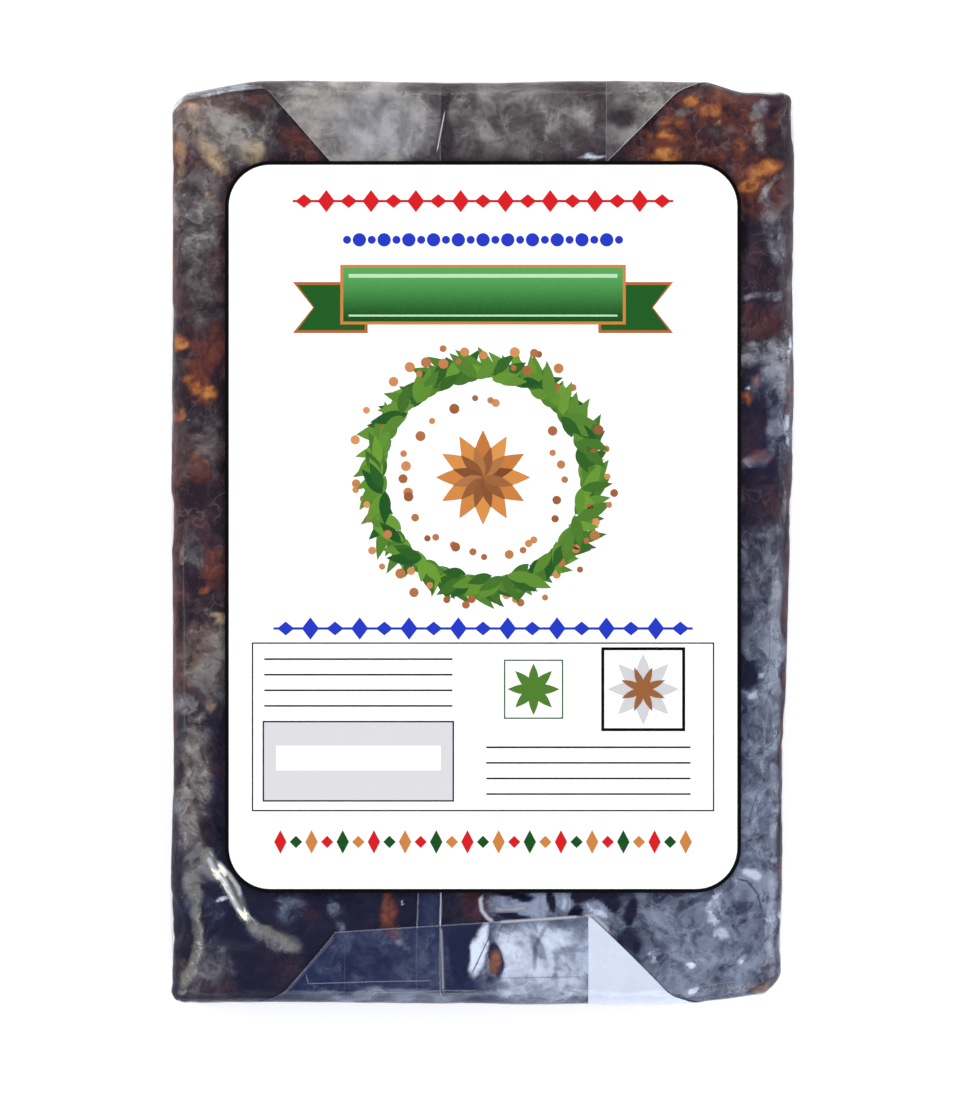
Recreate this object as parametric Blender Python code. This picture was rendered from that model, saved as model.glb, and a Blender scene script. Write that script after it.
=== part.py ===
"""A pressed brick of tamarind pulp, wrapped in clear film, with a paper label on its front.

The brick lies on its back. +X is its width, +Y its height, towards the label's top edge, and +Z its
thickness. The origin is the middle of the box round the whole part, at its underside. Units are metres.

The film is one sheet. It goes round the brick as a sleeve, with a lapped seam up the front. At each end
the sides are folded in and the back flap comes up over the end and lies on the front, so that it
narrows from the back corners. Film and paper are drawn thicker than the real ones.
"""

import math

import bmesh
import bpy
from mathutils import Vector, noise

# The wrapped brick, and how its plan departs from a rectangle
BRICK_WIDTH = 0.1162
BRICK_HEIGHT = 0.1716
BRICK_THICKNESS = 0.0196
EDGE_RADIUS = 0.0036
RIGHT_LEAN = 0.0023
RIGHT_LEAN_FROM = 0.050

# How deep each corner is pressed in, how wide, over what share of that, and how sharp its edge is
CORNERS = {
    ("left", "top"): (0.0028, 0.0190, 1.3, 0.0),
    ("right", "top"): (0.0018, 0.0170, 0.5, 0.0012),
    ("left", "bottom"): (0.0003, 0.0060, 1.0, 0.0014),
    ("right", "bottom"): (0.0034, 0.0240, 1.6, -0.0006),
}

# Low waves of the wrapped surface, and the hollows of the pressed pulp under it
WAVE_HEIGHT = 0.0005
WAVE_LENGTH = 0.026
HOLLOW_DEPTH = 0.0019
HOLLOW_LENGTH = 0.0125
CREASE_DEPTH = 0.0011
CREASE_LENGTH = 0.0065

# Film
FILM_THICKNESS = 0.0004
CLEARANCE = 0.0003
FOLD_THICKNESS = 0.0004
SEAM_THICKNESS = 0.0005
SEAM_LEFT = -0.0122
SEAM_RIGHT = -0.0077
SEAM_WRAP = 0.0030
SLIT_GAP = 0.00012
SLIT_REACH = 0.0005
SLIT_LENGTH = 0.100
FLAP_FOOT = 0.0003
BOTTOM_FLAP_REACH = 0.0152
BOTTOM_FLAP_SLANT = 0.064

# Label
LABEL_WIDTH = 0.0960
LABEL_HEIGHT = 0.1361
LABEL_THICKNESS = 0.00025
LABEL_RADIUS = 0.0089
LABEL_CENTRE = (0.0001, 0.0030)
LABEL_MARGIN = 0.0015
LABEL_FADE = 0.0070

# Cell size of the grids that the two bodies are drawn with
FILM_STEP = 0.0052
PULP_STEP = 0.0045

HALF_WIDTH = BRICK_WIDTH / 2
HALF_HEIGHT = BRICK_HEIGHT / 2
HALF_THICKNESS = BRICK_THICKNESS / 2
LABEL_TOP = LABEL_CENTRE[1] + LABEL_HEIGHT / 2
LABEL_BOTTOM = LABEL_CENTRE[1] - LABEL_HEIGHT / 2
TOP_FLAP_REACH = HALF_HEIGHT - LABEL_TOP - CLEARANCE

# How far the back flap has come in at the front edge and at its free edge: end, left and right
FLAP_INSETS = {
    "top": {"left": (0.0168, 0.0294), "right": (0.0200, 0.0344)},
    "bottom": {"left": (0.0193, 0.0308), "right": (0.0219, 0.0383)},
}


def clear_scene():
    for item in list(bpy.data.objects):
        bpy.data.objects.remove(item, do_unlink=True)


def new_collection(name):
    collection = bpy.data.collections.new(name)
    bpy.context.scene.collection.children.link(collection)
    return collection


def new_material(name, colour, roughness, alpha=1.0):
    material = bpy.data.materials.new(name)
    material.use_nodes = True
    shader = material.node_tree.nodes["Principled BSDF"]
    shader.inputs["Base Color"].default_value = (*colour, 1.0)
    shader.inputs["Roughness"].default_value = roughness
    shader.inputs["Metallic"].default_value = 0.0
    shader.inputs["Alpha"].default_value = alpha
    return material


def new_object(name, data, collection, material=None):
    item = bpy.data.objects.new(name, data)
    collection.objects.link(item)
    if material:
        data.materials.append(material)
    return item


def as_guide(item):
    item.hide_render = True
    item.display_type = "WIRE"
    return item


def smoothstep(low, high, value):
    t = min(max((value - low) / (high - low), 0.0), 1.0)
    return t * t * (3.0 - 2.0 * t)


def beyond_label(x, y):
    """0 under the label, rising to 1 a little way outside it."""
    past_x = abs(x - LABEL_CENTRE[0]) - LABEL_WIDTH / 2
    past_y = abs(y - LABEL_CENTRE[1]) - LABEL_HEIGHT / 2
    return smoothstep(LABEL_MARGIN, LABEL_MARGIN + LABEL_FADE, max(past_x, past_y))


def wave(point, normal):
    """Low waves that film and pulp share. The back stays flat, and so does the front under the label."""
    strength = smoothstep(-0.9, -0.2, normal.z)
    if normal.z > 0.5:
        strength *= beyond_label(point.x, point.y)
    return WAVE_HEIGHT * strength * noise.noise(point / WAVE_LENGTH)


def hollow(point):
    """Depth of the pressed pulp's hollows: broad ones, and narrow creases between its lumps."""
    broad = max(noise.noise(point / HOLLOW_LENGTH + Vector((3.1, 7.7, 1.3))), 0.0)
    crease = 1.0 - abs(noise.noise(point / CREASE_LENGTH + Vector((9.4, 2.2, 5.8)))) * 4.0
    return HOLLOW_DEPTH * broad + CREASE_DEPTH * max(crease, 0.0) * broad ** 0.5


def rounded(point):
    """The point of the round-edged brick that a point of the sharp box stands for, and its normal."""
    half = Vector((HALF_WIDTH, HALF_HEIGHT, HALF_THICKNESS))
    core = Vector(
        [min(max(point[i], EDGE_RADIUS - half[i]), half[i] - EDGE_RADIUS) for i in range(3)]
    )
    normal = (point - core).normalized()
    return core + normal * EDGE_RADIUS, normal


def pulled_in(point):
    """The brick's plan: its right side leans in towards the bottom, and its corners are pressed in.

    Some corners have a sharper upright edge than the round one, and one has a rounder.
    """
    x, y, z = point
    if x > 0.0:
        x -= RIGHT_LEAN * smoothstep(RIGHT_LEAN_FROM, -HALF_HEIGHT, y) * x / HALF_WIDTH
    side = "right" if point.x > 0.0 else "left"
    end = "top" if y > 0.0 else "bottom"
    depth, width, full, sharp = CORNERS[side, end]
    near = 1.0 - (HALF_WIDTH - abs(point.x)) / width
    at_side = max(1.0 - (HALF_WIDTH - abs(point.x)) / EDGE_RADIUS, 0.0)
    at_end = max(1.0 - (HALF_HEIGHT - abs(point.y)) / EDGE_RADIUS, 0.0)
    push = sharp * at_side * at_end
    y -= depth * smoothstep(0.0, full, near) * y / HALF_HEIGHT
    return Vector((x + math.copysign(1.0, x) * push, y + math.copysign(1.0, y) * push, z))


def grid_lines(half, step):
    """Where a side of the box is cut: even cells between the round edges, and one cut in each edge."""
    flat = half - EDGE_RADIUS
    count = max(round(2 * flat / step), 1)
    turn = flat + EDGE_RADIUS * math.tan(math.pi / 8)
    return [-turn, *(flat * (2 * i / count - 1) for i in range(count + 1)), turn]


def brick_form(offset, step, hollows=False):
    """A closed brick whose surface lies this far outside the wrapped brick's, or inside if negative."""
    form = bmesh.new()
    bmesh.ops.create_cube(form, size=1.0)
    bmesh.ops.scale(form, vec=(BRICK_WIDTH, BRICK_HEIGHT, BRICK_THICKNESS), verts=form.verts)
    for axis, half in enumerate((HALF_WIDTH, HALF_HEIGHT, HALF_THICKNESS)):
        normal = Vector([float(i == axis) for i in range(3)])
        for line in grid_lines(half, step):
            geometry = form.verts[:] + form.edges[:] + form.faces[:]
            place = {"plane_co": normal * line, "plane_no": normal}
            bmesh.ops.bisect_plane(form, geom=geometry, dist=1e-7, **place)
    for vertex in form.verts:
        point, normal = rounded(vertex.co)
        height = offset + wave(point, normal)
        if hollows:
            height -= hollow(point)
        vertex.co = pulled_in(point + normal * height)
        vertex.co.z += HALF_THICKNESS
    bmesh.ops.recalc_face_normals(form, faces=form.faces)
    mesh = bpy.data.meshes.new("form")
    form.to_mesh(mesh)
    form.free()
    return mesh


def smooth(mesh):
    mesh.shade_smooth()
    mesh.set_sharp_from_angle(angle=math.radians(35))


def add_boolean(item, operation, other):
    cut = item.modifiers.new(f"{operation.lower()} {other.name}", "BOOLEAN")
    cut.operation = operation
    cut.solver = "EXACT"
    cut.object = other


def box_guide(name, low, high, collection):
    """A box between two corners."""
    shape = bmesh.new()
    bmesh.ops.create_cube(shape, size=1.0)
    low, high = Vector(low), Vector(high)
    bmesh.ops.scale(shape, vec=high - low, verts=shape.verts)
    bmesh.ops.translate(shape, vec=(low + high) / 2, verts=shape.verts)
    mesh = bpy.data.meshes.new(name)
    shape.to_mesh(mesh)
    shape.free()
    return as_guide(new_object(name, mesh, collection))


def flap_outline(end, collection):
    """The space of a back flap, whose slanted sides run up the end and over the front.

    The bottom flap's free edge climbs to the right.
    """
    reach, slant = (TOP_FLAP_REACH, 0.0) if end == "top" else (BOTTOM_FLAP_REACH, BOTTOM_FLAP_SLANT)
    towards = 1.0 if end == "top" else -1.0
    spare = 2 * EDGE_RADIUS
    low = (-HALF_WIDTH, HALF_HEIGHT - reach, FLAP_FOOT)
    high = (HALF_WIDTH, HALF_HEIGHT + spare, BRICK_THICKNESS + spare)
    guide = box_guide(f"{end}_flap_outline", low, high, collection)
    for vertex in guide.data.vertices:
        x, y, z = vertex.co
        side = "right" if x > 0.0 else "left"
        at_edge, at_free = FLAP_INSETS[end][side]
        inset = at_edge * z / BRICK_THICKNESS + (at_free - at_edge) * (HALF_HEIGHT - y) / reach
        across = math.copysign(HALF_WIDTH - inset, x)
        climb = slant * across if y < HALF_HEIGHT else 0.0
        vertex.co = (across, towards * (y - climb), z)
    if end == "bottom":
        guide.data.flip_normals()
    return guide


def build_flap(end, collection):
    flap = new_object(f"{end}_flap", brick_form(FOLD_THICKNESS, FILM_STEP), collection)
    add_boolean(flap, "INTERSECT", flap_outline(end, collection))
    return as_guide(flap)


def build_seam(end, collection):
    """The lap that shows between the label and one end of the brick, down to the turn of its edge."""
    towards = 1.0 if end == "top" else -1.0
    label_edge = LABEL_TOP if end == "top" else -LABEL_BOTTOM
    near, far = towards * (label_edge + CLEARANCE), towards * (HALF_HEIGHT + SEAM_WRAP)
    low = (SEAM_LEFT, min(near, far), BRICK_THICKNESS - SEAM_WRAP)
    high = (SEAM_RIGHT, max(near, far), BRICK_THICKNESS + SEAM_WRAP)
    seam = new_object(f"{end}_seam", brick_form(SEAM_THICKNESS, FILM_STEP), collection)
    add_boolean(seam, "INTERSECT", box_guide(f"{end}_seam_outline", low, high, collection))
    return as_guide(seam)


def build_slit(collection):
    """The gap between the lap's two layers, under the label, which keeps the sleeve from being sealed."""
    width = SEAM_RIGHT - SEAM_LEFT
    drop = FILM_THICKNESS + 2 * SLIT_REACH
    half = Vector((math.hypot(width, drop) / 2, SLIT_LENGTH / 2, SLIT_GAP / 2))
    slit = box_guide("seam_slit", -half, half, collection)
    middle = (SEAM_LEFT + SEAM_RIGHT) / 2
    slit.location = (middle, LABEL_CENTRE[1], BRICK_THICKNESS - FILM_THICKNESS / 2)
    slit.rotation_euler.y = -math.atan2(drop, width)
    return slit


def build_film(parts, cutters):
    """The wrap: sleeve, end folds and seam as one body, hollowed for the brick and open at the lap."""
    material = new_material("clear_film", (0.62, 0.64, 0.70), 0.12, alpha=0.35)
    film = new_object("film_wrap", brick_form(0.0, FILM_STEP), parts, material)
    for end in ("top", "bottom"):
        add_boolean(film, "UNION", build_flap(end, cutters))
        add_boolean(film, "UNION", build_seam(end, cutters))
    inside = new_object("film_inside", brick_form(-FILM_THICKNESS, FILM_STEP), cutters)
    add_boolean(film, "DIFFERENCE", as_guide(inside))
    add_boolean(film, "DIFFERENCE", build_slit(cutters))
    return film


def build_pulp(parts):
    """The pressed pulp: the brick's own form, a clearance inside the film, with hollows and creases."""
    material = new_material("tamarind_pulp", (0.055, 0.024, 0.016), 0.38)
    mesh = brick_form(-FILM_THICKNESS - CLEARANCE, PULP_STEP, hollows=True)
    smooth(mesh)
    return new_object("pulp_block", mesh, parts, material)


def round_corners(curve, width, height, radius):
    """A closed outline with a quarter circle at each corner."""
    spline = curve.splines.new("BEZIER")
    spline.bezier_points.add(7)
    spline.use_cyclic_u = True
    arm = radius * 4 / 3 * math.tan(math.pi / 8)
    for quarter in range(4):
        angle = quarter * math.pi / 2
        out = Vector((math.cos(angle), math.sin(angle), 0.0))
        turn = Vector((-out.y, out.x, 0.0))
        across, along = (height, width) if quarter % 2 else (width, height)
        corner = out * (across / 2 - radius) + turn * (along / 2 - radius)
        for step, (start, onward) in enumerate(((out, turn), (turn, -out))):
            point = spline.bezier_points[quarter * 2 + step]
            point.handle_left_type = point.handle_right_type = "FREE"
            point.co = corner + start * radius
            point.handle_left = point.co - onward * (arm if step else 0.0)
            point.handle_right = point.co + onward * (0.0 if step else arm)


def build_label(parts):
    """The sticker: a thin plate with round corners, just clear of the film."""
    curve = bpy.data.curves.new("label", "CURVE")
    curve.dimensions = "2D"
    curve.fill_mode = "BOTH"
    curve.extrude = LABEL_THICKNESS / 2
    curve.resolution_u = 8
    round_corners(curve, LABEL_WIDTH, LABEL_HEIGHT, LABEL_RADIUS)
    material = new_material("label_paper", (0.93, 0.93, 0.93), 0.45)
    label = new_object("label", curve, parts, material)
    label.location = (*LABEL_CENTRE, BRICK_THICKNESS + CLEARANCE + LABEL_THICKNESS / 2)
    return label


def main():
    clear_scene()
    parts = new_collection("tamarind_brick")
    cutters = new_collection("cutters")
    build_pulp(parts)
    build_film(parts, cutters)
    build_label(parts)


main()
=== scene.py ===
"""The looks of a pressed brick of tamarind pulp, wrapped in clear film, with a paper label on its front.

The brick lies on its back, +Y up the label and +Z out of it, in metres. The camera looks straight down
on it, as the photograph shows it. The pulp, the film with its folded ends and the label are each built
over the CAD node that they stand for, on the same wrapped form.
"""

import logging
import math
import random
from collections.abc import Callable, Iterable, Sequence
from dataclasses import dataclass, field
from enum import Enum

import bmesh
import bpy
import numpy as np
from bpy.types import Material, Mesh, Node, NodeSocket, Object, World
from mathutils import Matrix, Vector, noise


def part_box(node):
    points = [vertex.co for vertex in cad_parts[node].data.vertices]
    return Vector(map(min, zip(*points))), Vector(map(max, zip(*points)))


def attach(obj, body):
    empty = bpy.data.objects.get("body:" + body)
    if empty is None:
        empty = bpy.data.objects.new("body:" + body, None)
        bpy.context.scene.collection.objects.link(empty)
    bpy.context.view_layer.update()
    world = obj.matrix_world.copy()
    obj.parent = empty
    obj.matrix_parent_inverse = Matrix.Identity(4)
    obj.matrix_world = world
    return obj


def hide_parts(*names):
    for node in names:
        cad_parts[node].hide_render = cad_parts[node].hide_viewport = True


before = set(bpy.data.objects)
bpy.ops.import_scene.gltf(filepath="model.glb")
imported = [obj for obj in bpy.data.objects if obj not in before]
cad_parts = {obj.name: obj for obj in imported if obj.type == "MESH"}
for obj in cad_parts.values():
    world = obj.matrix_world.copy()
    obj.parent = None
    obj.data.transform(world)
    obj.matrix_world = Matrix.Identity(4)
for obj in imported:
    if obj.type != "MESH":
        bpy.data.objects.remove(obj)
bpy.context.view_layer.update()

LOG = logging.getLogger("tamarind_brick")
MM = 0.001
BODY = "root"

# How far the layers of film stand off the pulp.
SEAM_LIFT = 0.02 * MM
FRONT_FLAP_LIFT = 0.05 * MM
TUCK_LIFT = 0.10 * MM
BACK_FLAP_LIFT = 0.17 * MM
OUTER_TUCK_LIFT = 0.24 * MM

# How finely printed shapes are drawn, and how many heights they take in turn, so that none share a plane.
CORNER_STEPS = 12
LEAF_STEPS = 8
DISC_POINTS = 20
PRINT_HEIGHTS = 31

Point2 = tuple[float, float]
Colour = tuple[float, float, float]
Rows = tuple[tuple[float, ...], ...]
Borders = Callable[[float], Point2]
Raised = Callable[[Vector, Vector], float]


class End(Enum):
    """An end of the brick, by the way along Y that it faces."""

    TOP = 1.0
    BOTTOM = -1.0


class Side(Enum):
    """A long side of the brick, by the way along X that it faces."""

    LEFT = -1.0
    RIGHT = 1.0


class Tone(Enum):
    """A colour that stands out from the dark pulp. Its value is the mesh attribute that holds it."""

    AMBER = "amber"
    # Pale fleck colour that partly paints soft highlights on the pulp.
    BEIGE = "beige"
    RED = "red"


class Veil(Enum):
    """A way in which the film hides the pulp, or light painted on it. Its value is the mesh attribute that
    holds it.
    """

    HAZE = "haze"
    # Painted light tint: yellowish at the top, bluish at the bottom.
    COOL = "cool"
    # Painted sheen and highlights on the film.
    GLEAM = "gleam"
    # Painted highlights along the ribs.
    GLINT = "glint"
    # Painted highlight lines on cut and folded edges, and painted dark lines where negative.
    EDGE = "edge"


Veils = dict[Veil, Rows]


def smoothstep(low: float, high: float, value: float) -> float:
    """A smooth rise from 0 at low to 1 at high."""
    t = min(max((value - low) / (high - low), 0.0), 1.0)
    return t * t * (3.0 - 2.0 * t)


def even_steps(low: float, high: float, step: float) -> list[float]:
    """Evenly spaced values from low to high."""
    count = max(round((high - low) / step), 1)
    return [low + (high - low) * i / count for i in range(count + 1)]


def new_piece(name: str, mesh: Mesh, materials: Sequence[Material]) -> Object:
    """Puts a mesh in the scene as a smooth-shaded piece.

    Args:
        name: the piece's name.
        mesh: its mesh.
        materials: its materials, in the order of its slots.

    Returns:
        The new object.
    """
    mesh.name = name
    for material in materials:
        mesh.materials.append(material)
    mesh.shade_smooth()
    piece = bpy.data.objects.new(name, mesh)
    bpy.context.scene.collection.objects.link(piece)
    return piece


def place_piece(piece: Object, node: str) -> Object:
    """Lets a piece ride on the brick, hides the CAD node that it stands for, and logs its face count.

    Args:
        piece: the piece, already in place.
        node: the CAD node that it replaces.

    Returns:
        The same piece.
    """
    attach(piece, BODY)
    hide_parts(node)
    LOG.info("%s: %d faces, for %s", piece.name, len(piece.data.polygons), node)
    return piece


def set_attribute(mesh: Mesh, name: str, values: np.ndarray) -> None:
    """Stores one number a vertex."""
    layer = mesh.attributes.new(name, "FLOAT", "POINT")
    layer.data.foreach_set("value", np.asarray(values, np.float32))


def points_of(mesh: Mesh) -> np.ndarray:
    """The mesh's vertices as rows of x, y and z."""
    rows = np.zeros(len(mesh.vertices) * 3, np.float32)
    mesh.vertices.foreach_get("co", rows)
    return rows.reshape(-1, 3).astype(float)


class Value:
    """A shader socket that arithmetic can be written with."""

    def __init__(self, graph: "Graph", socket: NodeSocket) -> None:
        """Wraps a socket."""
        self.graph = graph
        self.socket = socket

    def _math(
        self, operation: str, *others: "Value | float", first: "Value | float | None" = None
    ) -> "Value":
        """Adds a Math node."""
        terms = [self, *others] if first is None else [first, self]
        return self.graph.add("ShaderNodeMath", {"operation": operation}, dict(enumerate(terms)))

    def __add__(self, other: "Value | float") -> "Value":
        """The sum."""
        return self._math("ADD", other)

    __radd__ = __add__

    def __sub__(self, other: "Value | float") -> "Value":
        """The difference."""
        return self._math("SUBTRACT", other)

    def __rsub__(self, other: float) -> "Value":
        """The difference, reflected."""
        return self._math("SUBTRACT", first=other)

    def __mul__(self, other: "Value | float") -> "Value":
        """The product."""
        return self._math("MULTIPLY", other)

    __rmul__ = __mul__

    def __abs__(self) -> "Value":
        """The value without its sign."""
        return self._math("ABSOLUTE")

    def __pow__(self, power: float) -> "Value":
        """The value raised to a power."""
        return self._math("POWER", power)

    def clamped(self) -> "Value":
        """The value held between 0 and 1."""
        return self.graph.add("ShaderNodeClamp", {}, {0: self})

    def rise(self, low: float, high: float) -> "Value":
        """A smooth rise from 0 to 1."""
        settings = {"interpolation_type": "SMOOTHSTEP"}
        return self.graph.add("ShaderNodeMapRange", settings, {0: self, 1: low, 2: high, 3: 0.0, 4: 1.0})

    def crest(self, middle: float, width: float) -> "Value":
        """1 where the value meets the middle, falling to 0 this far to either side of it."""
        return (1.0 - abs(self - middle) * (1.0 / width)).clamped()


class Graph:
    """The nodes of one material or world."""

    def __init__(self, owner: Material | World) -> None:
        """Empties a material or world for new nodes.

        Args:
            owner: the material or world.
        """
        owner.use_nodes = True
        self.owner = owner
        self.tree = owner.node_tree
        self.tree.nodes.clear()

    @classmethod
    def of_material(cls, name: str) -> "Graph":
        """The graph of a new material."""
        return cls(bpy.data.materials.new(name))

    def add(
        self,
        kind: str,
        settings: dict[str, object] | None = None,
        sockets: dict[str | int, object] | None = None,
        out: int = 0,
    ) -> Value:
        """Adds a node.

        Args:
            kind: the node's type.
            settings: its properties, and "stops" for a ramp's (place, colour) pairs.
            sockets: values or links for its inputs, by name or number.
            out: the number of the output that is returned.

        Returns:
            That output.
        """
        node = self.tree.nodes.new(kind)
        for name, setting in (settings or {}).items():
            if name == "stops":
                self._set_stops(node, setting)
            else:
                setattr(node, name, setting)
        for name, content in (sockets or {}).items():
            if isinstance(content, Value):
                self.tree.links.new(content.socket, node.inputs[name])
            else:
                node.inputs[name].default_value = content
        return Value(self, node.outputs[out]) if len(node.outputs) else Value(self, None)

    @staticmethod
    def _set_stops(node: Node, stops: Sequence[tuple[float, Colour]]) -> None:
        """Gives a colour ramp its stops.

        Args:
            node: the ramp.
            stops: pairs of place and colour, in order.
        """
        elements = node.color_ramp.elements
        while len(elements) < len(stops):
            elements.new(1.0)
        for element, (place, colour) in zip(elements, stops, strict=True):
            element.position = place
            element.color = (*colour, 1.0)

    def millimetres(self) -> Value:
        """The place on the brick, in millimetres."""
        place = self.add("ShaderNodeTexCoord", out=3)
        return self.add("ShaderNodeVectorMath", {"operation": "SCALE"}, {0: place, "Scale": 1 / MM})

    def noise(self, place: Value, size: float, detail: float = 2.0, roughness: float = 0.5) -> Value:
        """Noise whose blots are about this many millimetres across."""
        sockets = {"Vector": place, "Scale": 1.0 / size, "Detail": detail, "Roughness": roughness}
        return self.add("ShaderNodeTexNoise", {}, sockets)

    def warped(self, place: Value, size: float, reach: float) -> Value:
        """A place pushed about, so that what is drawn on it gets uneven edges.

        Args:
            place: the place, in millimetres.
            size: the size of the swirls.
            reach: how far they push, in millimetres.

        Returns:
            The pushed place.
        """
        swirls = {"Vector": place, "Scale": 1.0 / size, "Detail": 2.0}
        push = self.add("ShaderNodeTexNoise", {}, swirls, out=1)
        sockets = {0: push, 1: (reach, reach, reach), 2: place}
        return self.add("ShaderNodeVectorMath", {"operation": "MULTIPLY_ADD"}, sockets)

    def stretched(self, place: Value, stretch: Colour) -> Value:
        """A place scaled by axis, so that what is drawn on it gets long along the small ones."""
        return self.add("ShaderNodeVectorMath", {"operation": "MULTIPLY"}, {0: place, 1: stretch})

    def attribute(self, name: str) -> Value:
        """A number stored on the mesh's vertices."""
        return self.add("ShaderNodeAttribute", {"attribute_name": name}, out=2)

    def mix(self, factor: Value | float, first: Value | Colour, second: Value | Colour) -> Value:
        """A colour between two.

        Args:
            factor: 0 for the first and 1 for the second.
            first: a colour.
            second: a colour.

        Returns:
            The mixed colour.
        """
        pair = [c if isinstance(c, Value) else (*c, 1.0) for c in (first, second)]
        sockets = {0: factor, 6: pair[0], 7: pair[1]}
        return self.add("ShaderNodeMix", {"data_type": "RGBA"}, sockets, out=2)

    def bump(self, height: Value, distance: float, strength: float = 1.0) -> Value:
        """A normal bent by a height."""
        return self.add("ShaderNodeBump", {}, {"Strength": strength, "Distance": distance, "Height": height})

    def finish(self, **sockets: object) -> Material:
        """Ends the graph in a Principled shader.

        Args:
            sockets: its inputs, with underscores for spaces.

        Returns:
            The finished material.
        """
        named = {name.replace("_", " "): content for name, content in sockets.items()}
        shader = self.add("ShaderNodeBsdfPrincipled", {}, named)
        self.add("ShaderNodeOutputMaterial", {}, {"Surface": shader})
        return self.owner


@dataclass(frozen=True)
class PulpFinish:
    """Wet, sticky pressed pulp: near black, with red-brown and amber where it is thin or fibrous, pale flecks
    that are partly fibre and partly painted soft highlights, and navy where a bluish light is painted on it.
    """

    dark: Colour = (0.014, 0.007, 0.014)
    # Navy that paints a bluish light on the pulp.
    blue_lit_navy: Colour = (0.004, 0.005, 0.019)
    brown: Colour = (0.066, 0.029, 0.034)
    red: Colour = (0.115, 0.028, 0.018)
    rust: Colour = (0.230, 0.066, 0.018)
    amber: Colour = (0.520, 0.215, 0.055)
    # Pale fleck colour, partly painted soft highlights.
    beige: Colour = (0.600, 0.445, 0.265)
    pale: Colour = (0.130, 0.105, 0.120)
    mould: float = 9.0
    grain: float = 1.5

    def build(self) -> Material:
        """Makes the material.

        Returns:
            The material.
        """
        graph = Graph.of_material("pressed_pulp")
        place = graph.warped(graph.millimetres(), 7.0, 5.0)
        blots = graph.noise(place, self.mould, 3.0, 0.5)
        lumps = graph.noise(place, 2.6, 2.0, 0.5) - 0.5
        fine = graph.noise(place, self.grain, 3.0, 0.55)
        grains = fine - 0.5
        uneven = lumps * 2.0 + grains * 1.5
        cool = graph.attribute(Veil.COOL.value)
        colour = graph.mix((blots + lumps * 0.5 + grains * 0.4).rise(0.42, 0.75), self.dark, self.brown)
        # Painted bluish light: the pulp turns navy where the tint is strong.
        colour = graph.mix(cool * 0.88, colour, self.blue_lit_navy)
        red = graph.attribute(Tone.RED.value) * (1.0 + uneven * 1.2) + (blots - 0.5) * (1.0 - cool) * 0.7
        colour = graph.mix(red.rise(0.05, 1.1), colour, self.red)
        amber = graph.attribute(Tone.AMBER.value) * (1.0 + uneven)
        colour = graph.mix(amber.rise(0.05, 0.75), colour, self.rust)
        colour = graph.mix(amber.rise(0.45, 1.25), colour, self.amber)
        # Pale flecks, partly fibre and partly painted soft highlights.
        beige = graph.attribute(Tone.BEIGE.value) * (1.0 + uneven * 0.9)
        colour = graph.mix(beige.rise(0.1, 1.25), colour, self.beige)
        curled = graph.noise(graph.warped(place, 2.4, 3.0), 3.0, 1.0)
        fibres = curled.crest(0.5, 0.045) * graph.noise(place, 4.5, 1.0).rise(0.46, 0.60)
        colour = graph.mix(fibres * (1.0 - cool) * 0.5, colour, self.pale)
        threads = graph.noise(graph.stretched(place, (1.0, 0.22, 1.0)), 2.2, 2.0)
        colour = graph.mix(threads.crest(0.5, 0.010) * (1.0 - cool) * 0.12, colour, self.amber)
        relief = blots * 0.5 + fine * 0.5
        return graph.finish(
            Base_Color=colour,
            Roughness=0.34 + 0.30 * fine,
            Specular_IOR_Level=0.15,
            Normal=graph.bump(relief, 0.7 * MM),
            Coat_Weight=0.04,
            Coat_Roughness=0.2,
        )


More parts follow.
